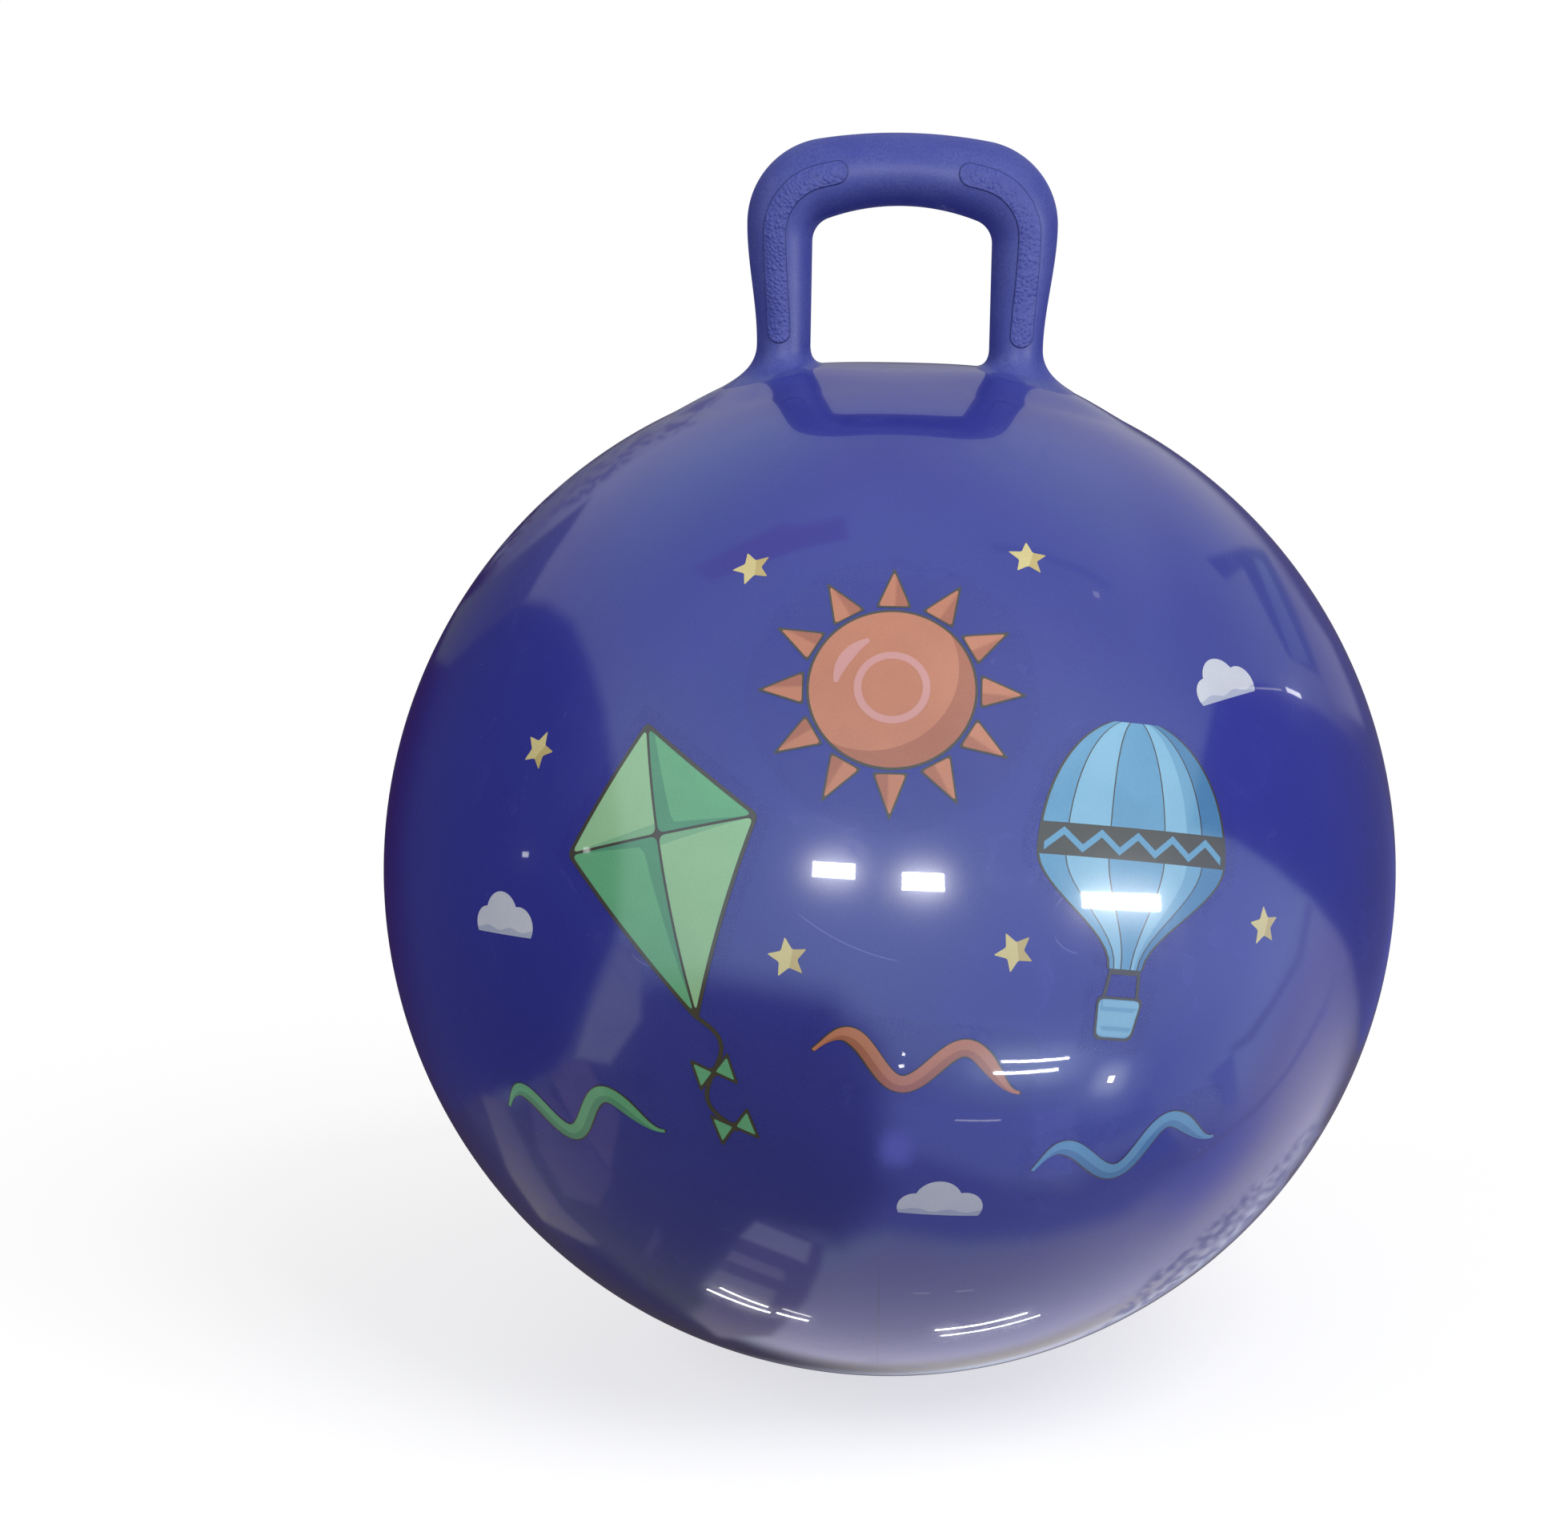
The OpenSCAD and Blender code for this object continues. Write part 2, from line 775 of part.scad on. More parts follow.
function bent_half(w, t) = w / 2 * lerp(bar_end_share, 1, sin(180 * t));

module sun_rays(extra) {
  for (k = [0 : rays - 1])
    rotate([0, 0, 360 * k / rays])
      translate([0, sun_d / 2 + ray_gap])
        polygon(rounded(grown([[-ray_w / 2, 0], [ray_w / 2, 0], [0, ray_l]], extra), shape_round / 2));
}

module sun_film() {
  color("#e8ecf4")
    film() {
      stamp(sun_place) disc(sun_d / 2 + ray_gap + ray_l + film_margin);
      stamp(sun_breeze_place) breeze_plate();
    }
}

module sun_dark_ink() {
  color("#4b4640")
    ink(0) {
      stamp(sun_place) {
        disc(sun_d / 2 + outline);
        sun_rays(outline / 2);
      }
      stamp(sun_breeze_place) breeze(outline / 2);
    }
}

module sun_orange_ink() {
  color("#d8906c")
    ink(1) {
      stamp(sun_place) {
        disc(sun_d / 2);
        sun_rays(-outline / 4);
      }
      stamp(sun_breeze_place) breeze(0);
    }
}

module sun_pink_ink() {
  shine_r = sun_d / 2 * shine_r_share;
  shine_w = sun_d / 2 * shine_w_share;
  color("#e2a9a4")
    ink(2)
      stamp(sun_place) {
        polygon(bent_bar(shine_r, shine_w, shine_from, shine_to));
        difference() {
          disc(sun_d * ring_share / 2);
          disc(sun_d * ring_share / 2 - sun_ring);
        }
      }
}

// The balloon, with upright panels, a band with a zigzag, and a basket on two ropes

// Half width of the balloon at a height share from the neck at 0 to the crown at 1
function balloon_half(share) = balloon_w / 2 * (
  share > belly_share ? sqrt(1 - pow((share - belly_share) / (1 - belly_share), 2))
  : lerp(neck_share, 1, smooth(share / belly_share))
);

// An upright strip of the balloon between two shares of its half width
function gore(left, right, extra, low, high) = let (n = round_steps / 4) concat(
  [for (k = [0 : n]) let (h = lerp(low, high, k / n))
    [right * balloon_half(h) + extra, neck_z + balloon_h * h]],
  [for (k = [n : -1 : 0]) let (h = lerp(low, high, k / n))
    [left * balloon_half(h) - extra, neck_z + balloon_h * h]]
);

module balloon_band() {
  translate([0, neck_z + balloon_h * (band_low_share + band_top_share) / 2])
    square([balloon_w + 2 * outline, band_h], center = true);
}

function zigzag_side(lift) = [
  for (k = [-zigzags : zigzags])
    [
      k / zigzags * balloon_half(band_low_share) * zigzag_share,
      neck_z + balloon_h * (band_low_share + band_top_share) / 2
        + (k % 2 == 0 ? 1 : -1) * (band_h / 2 - zigzag_w) + lift
    ]
];

module zigzag() {
  lower = zigzag_side(-zigzag_w / 2);
  upper = zigzag_side(zigzag_w / 2);
  polygon(concat(lower, [for (i = [len(upper) - 1 : -1 : 0]) upper[i]]));
}

module basket(extra) {
  low_x = basket_w * basket_low_share / 2 + extra;
  top_x = basket_w / 2 + extra;
  translate([0, neck_z - basket_drop - basket_h / 2])
    polygon(rounded([
      [-low_x, -basket_h / 2 - extra], [low_x, -basket_h / 2 - extra],
      [top_x, basket_h / 2 + extra], [-top_x, basket_h / 2 + extra]
    ], shape_round));
}

module ropes() {
  for (side = [-1, 1])
    polygon([
      [side * rope_low_x - rope_w / 2, neck_z - basket_drop],
      [side * rope_low_x + rope_w / 2, neck_z - basket_drop],
      [side * rope_top_x + rope_w / 2, neck_z],
      [side * rope_top_x - rope_w / 2, neck_z]
    ]);
}

module balloon_film() {
  color("#e8ecf4")
    film() {
      stamp(balloon_place) {
        polygon(gore(-1, 1, outline + film_margin, 0, crown_share));
        basket(outline + film_margin);
        translate([0, neck_z - basket_drop / 2])
          square([basket_w, basket_drop + film_margin], center = true);
      }
      stamp(balloon_breeze_place) breeze_plate();
    }
}

module balloon_dark_ink() {
  color("#4b4640")
    ink(0) {
      stamp(balloon_place) {
        polygon(gore(-1, 1, outline, 0, crown_share));
        translate([0, neck_z - outline]) square([2 * neck_share * balloon_w / 2, 2 * outline], center = true);
        ropes();
        basket(outline);
      }
      stamp(balloon_breeze_place) breeze(outline / 2);
    }
}

module balloon_blue_ink() {
  color("#78b4da")
    ink(1) {
      stamp(balloon_place) {
        difference() {
          polygon(gore(-1, 1, 0, 0, crown_share));
          balloon_band();
          for (g = gore_shares) polygon(gore(g[0], g[1], outline / 4, 0, crown_share));
        }
        zigzag();
      }
      stamp(balloon_breeze_place) breeze(0);
    }
}

module balloon_pale_ink() {
  color("#a3d4ee")
    ink(1)
      stamp(balloon_place) {
        difference() {
          for (g = gore_shares) polygon(gore(g[0], g[1], -outline / 4, 0, crown_share));
          balloon_band();
        }
        basket(0);
      }
}

// The small stars and clouds between the pictures

function star(r) = [
  for (k = [0 : 2 * star_points - 1])
    on_circle([0, 0], k % 2 == 0 ? r : r * star_in_share, 90 + 180 * k / star_points)
];

module star_yellow_ink() {
  color("#e9dc9a")
    small_ink()
      for (place = star_places)
        stamp(place) polygon(rounded(star(star_d / 2), outline / 2));
}

module cloud() {
  difference() {
    for (puff = cloud_shares)
      translate([puff[0] * cloud_w, puff[1] * cloud_w])
        circle(r = puff[2] * cloud_w, $fn = round_steps);
    translate([-cloud_w, -cloud_w - cloud_w * cloud_base_share / 2])
      square([2 * cloud_w, cloud_w]);
  }
}

module cloud_white_ink() {
  color("#e6ebf2")
    small_ink()
      for (place = cloud_places) stamp(place) cloud();
}

ball_shell();
handle_root();
handle();
grip_pads();
valve_seat();
valve_plug();
kite_film();
sun_film();
balloon_film();
kite_dark_ink();
kite_green_ink();
kite_pale_ink();
sun_dark_ink();
sun_orange_ink();
sun_pink_ink();
balloon_dark_ink();
balloon_blue_ink();
balloon_pale_ink();
star_yellow_ink();
cloud_white_ink();
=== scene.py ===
"""Hopper ball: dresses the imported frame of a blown-up sit-on ball with a loop handle."""

from __future__ import annotations

import logging
import math
from dataclasses import dataclass, field
from enum import Enum
from functools import partial
from typing import Callable, Sequence

import bpy
import numpy as np
from mathutils import Matrix, Quaternion, Vector, geometry, noise

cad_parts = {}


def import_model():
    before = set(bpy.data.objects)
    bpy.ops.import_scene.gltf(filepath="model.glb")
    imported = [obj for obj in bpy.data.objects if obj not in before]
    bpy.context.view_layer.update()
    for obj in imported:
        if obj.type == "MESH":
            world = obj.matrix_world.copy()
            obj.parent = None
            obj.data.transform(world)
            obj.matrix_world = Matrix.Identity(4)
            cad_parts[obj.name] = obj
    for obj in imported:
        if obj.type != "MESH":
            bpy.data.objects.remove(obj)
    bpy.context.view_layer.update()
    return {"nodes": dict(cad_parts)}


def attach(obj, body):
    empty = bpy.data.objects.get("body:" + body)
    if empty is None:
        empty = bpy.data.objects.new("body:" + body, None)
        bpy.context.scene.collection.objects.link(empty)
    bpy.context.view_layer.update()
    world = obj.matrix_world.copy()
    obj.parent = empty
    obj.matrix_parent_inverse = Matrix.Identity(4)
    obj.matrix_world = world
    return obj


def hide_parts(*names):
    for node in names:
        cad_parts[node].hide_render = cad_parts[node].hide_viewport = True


LOG = logging.getLogger("hopper_ball")
MM = 0.001
Colour = tuple[float, float, float, float]
Place = tuple[float, float, float]
Pair = tuple[float, float]
Faces = list[tuple[int, ...]]
Outline = np.ndarray
Thing = bpy.types.Object
Material = bpy.types.Material
Socket = bpy.types.NodeSocket
Adder = Callable[..., Socket | None]


class Body(Enum):
    """The CAD bodies that pieces ride on."""

    BALL = "ball"
    PLUG = "air_plug"


class Layer(Enum):
    """Print layers: the height of the underside over the skin and the thickness, in millimetres."""

    STRAIGHT_ON = (0.02, 0.03)
    FILM = (0.02, 0.06)
    DARK = (0.10, 0.03)
    COLOUR = (0.14, 0.03)
    TINT = (0.18, 0.03)


class Node(Enum):
    """Shader nodes: type, the inputs that values fill in order, the output read, fixed settings."""

    PLACE = ("TexCoord", (), "Object", {})
    SPLIT = ("SeparateXYZ", (0,), 0, {})
    MAP = ("Mapping", ("Vector", "Location", "Rotation", "Scale"), 0, {})
    NOISE = ("TexNoise", ("Vector", "Scale", "Detail", "Roughness", "Distortion"), 0, {})
    CELLS = ("TexVoronoi", ("Vector", "Scale"), "Distance", {})
    EASE = ("MapRange", (0, 1, 2, 3, 4), 0, {"interpolation_type": "SMOOTHSTEP"})
    MIX = ("Mix", (0, 6, 7), 2, {"data_type": "RGBA"})
    TIMES = ("Math", (0, 1), 0, {"operation": "MULTIPLY"})
    PLUS = ("Math", (0, 1), 0, {"operation": "ADD"})
    LESS = ("Math", (0, 1), 0, {"operation": "SUBTRACT"})
    MOST = ("Math", (0, 1), 0, {"operation": "MAXIMUM"})
    ABS = ("Math", (0,), 0, {"operation": "ABSOLUTE"})
    LENGTH = ("VectorMath", (0,), "Value", {"operation": "LENGTH"})
    ATTRIBUTE = ("Attribute", (), "Fac", {})
    BUMP = ("Bump", ("Strength", "Distance", "Height"), 0, {})
    SURFACE = ("BsdfPrincipled", (), 0, {})
    PAPER = ("BsdfDiffuse", ("Color",), 0, {})
    GLOW = ("Emission", ("Color", "Strength"), 0, {})
    BOTH = ("AddShader", (0, 1), 0, {})
    EITHER = ("MixShader", (0, 1, 2), 0, {})
    RAY = ("LightPath", (), "Is Camera Ray", {})
    SKY = ("Background", ("Color", "Strength"), 0, {})
    OUTPUT = ("OutputMaterial", (0,), None, {})
    SKY_OUTPUT = ("OutputWorld", (0,), None, {})


# ---------------------------------------------------------------- small helpers


def linear(code: str) -> Colour:
    """Turn an sRGB hex colour to linear light.

    Args:
        code: The colour as "#rrggbb".

    Returns:
        The linear red, green and blue, and a full alpha.
    """
    parts = [int(code[i : i + 2], 16) / 255 for i in (1, 3, 5)]
    light = [c / 12.92 if c <= 0.04045 else ((c + 0.055) / 1.055) ** 2.4 for c in parts]
    return (light[0], light[1], light[2], 1.0)


WHITE = linear("#ffffff")


def smooth(t: np.ndarray | float) -> np.ndarray | float:
    """Ease from 0 to 1 with level ends."""
    u = np.clip(t, 0.0, 1.0)
    return u * u * (3 - 2 * u)


def lerp(a: float, b: float, t: float) -> float:
    """Go from a to b by the share t."""
    return a + (b - a) * t


def fineness(size_mm: float) -> float:
    """Give the scale of a pattern whose parts are size_mm across."""
    return 1 / (size_mm * MM)


def add_node(
    tree: bpy.types.NodeTree,
    kind: Node,
    *values: object,
    read: int | str | None = None,
    named: dict[str, object] | None = None,
    **settings: object,
) -> Socket | None:
    """Add a node with its settings and links.

    Args:
        tree: The node tree to add to.
        kind: The kind of node.
        *values: Values or outputs for the kind's inputs, in its order.
        read: The output to give, where it isn't the kind's usual one.
        named: Values or outputs for inputs by name.
        **settings: Properties to set on the node itself.

    Returns:
        The node's output, or None for an output node.
    """
    name, inputs, usual, fixed = kind.value
    node = tree.nodes.new("ShaderNode" + name)
    for key, value in {**fixed, **settings}.items():
        setattr(node, key, value)
    for key, value in {**dict(zip(inputs, values)), **(named or {})}.items():
        if isinstance(value, Socket):
            tree.links.new(value, node.inputs[key])
        else:
            node.inputs[key].default_value = value
    output = usual if read is None else read
    return None if output is None else node.outputs[output]


def mottled(
    add: Adder, place: Socket, size_mm: float, detail: float, span: Pair, *colours: object, most: float = 1.0
) -> Socket:
    """Mix two colours by a cloudy pattern.

    Args:
        add: Adds a node.
        place: The point's coordinates.
        size_mm: The size of the clouds.
        detail: How many finer patterns lie over them.
        span: Where the pattern starts to show and where it is full.
        *colours: The colour under it and its own.
        most: Its share where it is full.

    Returns:
        The mixed colour.
    """
    pattern = add(Node.NOISE, place, fineness(size_mm), detail)
    return add(Node.MIX, add(Node.EASE, pattern, *span, 0.0, most), *colours)


def add_thing(name: str, data: bpy.types.ID) -> Thing:
    """Put a mesh, a lamp or a camera in the scene.

    Args:
        name: The object's name.
        data: What it shows.

    Returns:
        The object.
    """
    thing = bpy.data.objects.new(name, data)
    bpy.context.scene.collection.objects.link(thing)
    return thing


def add_mesh(name: str, points: Sequence, faces: Sequence, material: Material | None = None) -> Thing:
    """Put a mesh in the scene.

    Args:
        name: Its name.
        points: Points in metres.
        faces: Tuples of point numbers.
        material: Its material, if it has one.

    Returns:
        The object.
    """
    mesh = bpy.data.meshes.new(name)
    mesh.from_pydata([tuple(p) for p in points], [], faces)
    if material:
        mesh.materials.append(material)
    return add_thing(name, mesh)


def make_piece(
    name: str,
    points: Sequence,
    faces: Sequence,
    material: Material,
    slot: str,
    *nodes: str,
    body: Body = Body.BALL,
    sharp: float | None = None,
    share: tuple[str, Sequence[float]] | None = None,
) -> Thing:
    """Make a mesh piece, let it ride on its body and report it.

    Args:
        name: The piece's name.
        points: Points in metres.
        faces: Tuples of point numbers.
        material: The piece's material.
        slot: The record's material slot; not used.
        *nodes: CAD nodes that the piece stands for.
        body: The CAD body that carries the piece.
        sharp: The angle in degrees above which an edge is sharp, or None for no sharp edge.
        share: The name of a value that the material reads, and its value at each point.

    Returns:
        The new object.
    """
    piece = add_mesh(name, points, faces, material)
    mesh = piece.data
    mesh.polygons.foreach_set("use_smooth", [True] * len(mesh.polygons))
    if sharp is not None:
        mesh.set_sharp_from_angle(angle=math.radians(sharp))
    if share:
        values = mesh.attributes.new(share[0], "FLOAT", "POINT")
        values.data.foreach_set("value", np.array(share[1], np.float32))
    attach(piece, body.value)
    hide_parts(*nodes)
    LOG.info("%s: %d points, %d faces, on %s", name, len(mesh.vertices), len(mesh.polygons), body.value)
    return piece


def ring(radius: float, height: float, sides: int) -> list[Place]:
    """Give the points of a level ring round the Z axis."""
    turns = [2 * math.pi * k / sides for k in range(sides)]
    return [(radius * math.cos(t), radius * math.sin(t), height) for t in turns]


def join_rings(count: int, sides: int, closed: bool = False, start: int = 0) -> Faces:
    """Make the quads between rings of points that follow each other.

    Args:
        count: How many rings there are.
        sides: Points in each ring.
        closed: Whether the last ring joins the first.
        start: The number of the first ring's first point.

    Returns:
        The quads, facing outwards where rings turn anticlockwise about their way.
    """
    faces = []
    for i in range(count if closed else count - 1):
        low, high = start + i * sides, start + (i + 1) % count * sides
        for k in range(sides):
            m = (k + 1) % sides
            faces.append((low + k, low + m, high + m, high + k))
    return faces


# ---------------------------------------------------------------- finishes

# What a print and the skin share: a soft body under a clear, glossy coat
COAT = {"Specular IOR Level": 0.28, "Coat Weight": 1.0, "Coat IOR": 1.5}


@dataclass(frozen=True)
class Finish:
    """A surface as it was made, drawn with shader nodes."""

    name: str

    def surface(self, add: Adder, place: Socket) -> Socket:
        """Draw the surface from a point's coordinates, and give its shader."""
        raise NotImplementedError

    def material(self) -> Material:
        """Build the finish's node material.

        Returns:
            The material.
        """
        material = bpy.data.materials.new(self.name)
        material.use_nodes = True
        material.node_tree.nodes.clear()
        add = partial(add_node, material.node_tree)
        add(Node.OUTPUT, self.surface(add, add(Node.PLACE)))
        return material


@dataclass(frozen=True)
class GlossyPvc(Finish):
    """Plasticised PVC, rotation moulded in a polished mould: deep colour under a wet-looking skin."""

    name: str = "glossy_pvc_rotation_moulded"
    colour: str = "#33379a"
    deep: str = "#303495"
    fleck: str = "#3d42a6"
    line: str = "#1c1d5c"
    hairline: str = "#8286cc"
    skin_roughness: float = 0.03
    roughness: float = 0.2
    smudged: float = 0.34
    ior: float = 1.54
    seam: bool = True
    cloud_mm: float = 70
    # Pigment grains are too fine to see, and are drawn 0.7 mm across as a faint flecking
    fleck_mm: float = 0.7
    # Hands and packing leave faint dull patches
    smudge_mm: float = 30
    peel_mm: float = 11
    peel_height_mm: float = 0.006
    # Each is part of a ring: its middle across and up, its radius and its two ends across
    scratches: tuple[tuple[float, ...], ...] = (
        (22, 330, 96, -37, 7),
        (-92, 240, 14, -102, -88),
        (78, 250, 13, 66, 76),
        (-60, 300, 60, -116, -100),
    )

    def surface(self, add: Adder, place: Socket) -> Socket:
        """Draw the clouded colour, the marks on it and the faint orange peel of its skin.

        Args:
            add: Adds a node.
            place: The point's coordinates.

        Returns:
            The shader.
        """
        tones = linear(self.deep), linear(self.colour)
        colour = mottled(add, place, self.cloud_mm, 3.0, (0.3, 0.7), *tones)
        colour = mottled(add, place, self.fleck_mm, 1.0, (0.35, 0.75), colour, linear(self.fleck), most=0.35)
        if self.seam:
            colour = add(Node.MIX, self.parting_line(add, place), colour, linear(self.line))
            colour = add(Node.MIX, self.hairlines(add, place), colour, linear(self.hairline))
        smudges = add(Node.NOISE, place, fineness(self.smudge_mm), 5.0, 0.5, 1.2)
        peel = add(Node.NOISE, place, fineness(self.peel_mm), 2.0)
        bump = add(Node.BUMP, 1.0, self.peel_height_mm * MM, peel)
        looks = {
            **COAT,
            "Base Color": colour,
            "Roughness": add(Node.EASE, smudges, 0.52, 0.78, self.roughness, self.smudged),
            "IOR": self.ior,
            "Coat Roughness": self.skin_roughness,
            "Normal": bump,
            "Coat Normal": bump,
        }
        return add(Node.SURFACE, named=looks)

    def parting_line(self, add: Adder, place: Socket) -> Socket:
        """Mark the mould's parting line, a darker thread along the middle of the lower half.

        Args:
            add: Adds a node.
            place: The point's coordinates.

        Returns:
            The line's share, from 0 to 1.
        """
        across, height = add(Node.SPLIT, place), add(Node.SPLIT, place, read=2)
        thread = add(Node.EASE, add(Node.ABS, across), 0.35 * MM, 0.75 * MM, 0.55, 0.0)
        return add(Node.TIMES, thread, add(Node.EASE, height, 80 * MM, 100 * MM, 1.0, 0.12))

    def hairlines(self, add: Adder, place: Socket) -> Socket:
        """Mark the fine bent scratches on the front, where the soft skin was scuffed.

        Args:
            add: Adds a node.
            place: The point's coordinates.

        Returns:
            The scratches' share, from 0 to 1.
        """
        across, depth, height = (add(Node.SPLIT, place, read=axis) for axis in range(3))
        front = add(Node.EASE, depth, -120 * MM, -100 * MM, 0.4, 0.0)
        front = add(Node.TIMES, front, add(Node.EASE, height, 270 * MM, 280 * MM, 1.0, 0.0))
        total = 0.0
        for x, z, radius, left, right in self.scratches:
            middle = add(Node.MAP, place, (-x * MM, 0, -z * MM), (0, 0, 0), (1, 0, 1))
            gap = add(Node.ABS, add(Node.LESS, add(Node.LENGTH, middle), radius * MM))
            line = add(Node.EASE, gap, 0.15 * MM, 0.4 * MM, 1.0, 0.0)
            half = (right - left) / 2 * MM
            along = add(Node.ABS, add(Node.LESS, across, (left + right) / 2 * MM))
            line = add(Node.TIMES, line, add(Node.EASE, along, 0.7 * half, half, 1.0, 0.0))
            total = add(Node.MOST, total, line)
        return add(Node.TIMES, total, front)


@dataclass(frozen=True)
class SatinPvc(Finish):
    """The same PVC from a blasted part of the mould: a fine sandy grain that scatters the light."""

    name: str = "satin_pvc_blasted_mould"
    colour: str = "#4f56a4"
    deep: str = "#474ea2"
    fleck: str = "#3e4593"
    # The colour of the painted shade along a grip pad's edge, where the raised pad meets the handle
    painted_crease_shade_colour: str = "#2b3070"
    scuff_colour: str = "#b9bbdd"
    roughness: float = 0.46
    gloss_roughness: float = 0.07
    specular: float = 0.38
    ior: float = 1.54
    blotch_mm: float = 14
    # The real grain is about 0.3 mm, and is drawn at 1 mm so that it shows
    grain_mm: float = 1.0
    grain_height_mm: float = 0.07
    painted_crease_shade: bool = False
    melts: bool = True
    scuff: bool = True

    def surface(self, add: Adder, place: Socket) -> Socket:
        """Draw the grainy colour, which melts into the ball's gloss at a foot.

        Args:
            add: Adds a node.
            place: The point's coordinates.

        Returns:
            The shader.
        """
        tones = linear(self.deep), linear(self.colour)
        colour = mottled(add, place, self.blotch_mm, 6.0, (0.35, 0.65), *tones)
        if self.scuff:
            colour = add(Node.MIX, self.scuff_mark(add, place), colour, linear(self.scuff_colour))
        grain = add(Node.NOISE, place, fineness(self.grain_mm), 2.0, 0.6)
        colour = add(Node.MIX, add(Node.EASE, grain, 0.35, 0.6, 0.75, 0.0), colour, linear(self.fleck))
        # Painted shade: darker along a grip pad's edge, where shade falls into the step round the raised pad
        if self.painted_crease_shade:
            shadow = add(Node.ATTRIBUTE, attribute_name="painted_crease_shade")
            colour = add(Node.MIX, shadow, colour, linear(self.painted_crease_shade_colour))
        melt, roughness = 1.0, self.roughness
        if self.melts:
            melt = add(Node.ATTRIBUTE, attribute_name="satin")
            roughness = add(Node.EASE, melt, 0.0, 1.0, self.gloss_roughness, self.roughness)
        looks = {
            "Base Color": colour,
            "Roughness": roughness,
            "IOR": self.ior,
            "Specular IOR Level": self.specular,
            "Normal": add(Node.BUMP, 1.0, self.grain_height_mm * MM, add(Node.TIMES, grain, melt)),
        }
        return add(Node.SURFACE, named=looks)

    def scuff_mark(self, add: Adder, place: Socket) -> Socket:
        """Mark the small pale scuff under the right end of the grip bar.

        Args:
            add: Adds a node.
            place: The point's coordinates.

        Returns:
            The scuff's share, from 0 to 1.
        """
        level = (0, 0, 0)
        centred = add(Node.MAP, place, (-19 * MM, 11 * MM, -516.5 * MM))
        rolled = add(Node.MAP, centred, level, (0, math.radians(-24), 0))
        inside = 1.0
        # Along, to the back and across: where it starts to fade and where it ends, in millimetres
        for axis, (fades, ends) in enumerate(((2.5, 5.5), (5, 8), (0.6, 2.2))):
            reach = add(Node.ABS, add(Node.SPLIT, rolled, read=axis))
            inside = add(Node.TIMES, inside, add(Node.EASE, reach, fades * MM, ends * MM, 1.0, 0.0))
        # It is made of streaks 3.8 mm long and 0.7 to 0.8 mm wide
        stretch = tuple(fineness(size) for size in (3.8462, 0.83333, 0.66667))
        streaks = add(Node.NOISE, add(Node.MAP, rolled, level, level, stretch), 1.0, 3.0)
        return add(Node.TIMES, inside, add(Node.EASE, streaks, 0.46, 0.66, 0.0, 0.8))


@dataclass(frozen=True)
class TransferInk(Finish):
    """Pigment ink under the clear skin of a heat transfer: flat colour with the ball's own gloss."""

    colour: str
    shade: str
    drift_mm: float = 22
    # The printer's dots are about 0.2 mm, and are drawn at 0.9 mm so that they show
    dot_mm: float = 0.9

    def surface(self, add: Adder, place: Socket) -> Socket:
        """Draw the ink, with its darker tone where the shape is shaded.

        Args:
            add: Adds a node.
            place: The point's coordinates.

        Returns:
            The shader.
        """
        drift = add(Node.NOISE, place, fineness(self.drift_mm), 2.0)
        dots = add(Node.CELLS, place, fineness(self.dot_mm))
        drawn = add(Node.ATTRIBUTE, attribute_name="shade")
        tone = add(Node.EASE, drift, 0.3, 0.7, 0.0, 0.2)
        tone = add(Node.PLUS, tone, add(Node.EASE, dots, 0.2, 0.8, 0.0, 0.12))
        tone = add(Node.PLUS, tone, add(Node.EASE, drawn, -0.25, 0.25, 0.0, 0.8))
        colour = add(Node.MIX, tone, linear(self.colour), linear(self.shade))
        looks = {**COAT, "Base Color": colour, "Roughness": 0.22, "IOR": 1.5, "Coat Roughness": 0.04}
        return add(Node.SURFACE, named=looks)


@dataclass(frozen=True)
class ClearFilm(Finish):
    """Clear polyurethane transfer film, ironed on: all but unseen, with a faint milky bloom in places."""

    haze: float = 0.03
    colour: str = "#383c9c"
    bloom: str = "#6267b4"
    cloud_mm: float = 12

    def surface(self, add: Adder, place: Socket) -> Socket:
        """Draw the film's haze over the ball's colour.

        Args:
            add: Adds a node.
            place: The point's coordinates.

        Returns:
            The shader.
        """
        tones = linear(self.colour), linear(self.bloom)
        colour = mottled(add, place, self.cloud_mm, 4.0, (0.35, 0.7), *tones)
        looks = {**COAT, "Base Color": colour, "Roughness": 0.22, "Coat Roughness": 0.04, "Alpha": self.haze}
        return add(Node.SURFACE, named=looks)


@dataclass(frozen=True)
class MouldedPolyethylene(Finish):
    """White polyethylene, injection moulded: slightly waxy, so light goes a little way in."""

    name: str = "white_polyethylene_moulded"
    colour: str = "#e6e6df"
    flow_colour: str = "#dadbd6"
    flow_mm: float = 5
    flow_height_mm: float = 0.02
    light_depth_mm: float = 2

    def surface(self, add: Adder, place: Socket) -> Socket:
        """Draw the waxy white with the faint marks of its flow in the mould.

        Args:
            add: Adds a node.
            place: The point's coordinates.

        Returns:
            The shader.
        """
        flow = add(Node.NOISE, place, fineness(self.flow_mm), 3.0)
        share = add(Node.EASE, flow, 0.3, 0.7, 0.0, 1.0)
        looks = {
            "Base Color": add(Node.MIX, share, linear(self.colour), linear(self.flow_colour)),
            "Roughness": 0.34,
            "IOR": 1.51,
            "Subsurface Weight": 0.15,
            "Subsurface Radius": (self.light_depth_mm * MM,) * 3,
            "Subsurface Scale": 0.5,
            "Normal": add(Node.BUMP, 0.4, self.flow_height_mm * MM, flow),
        }
        return add(Node.SURFACE, named=looks)


# ---------------------------------------------------------------- the ball


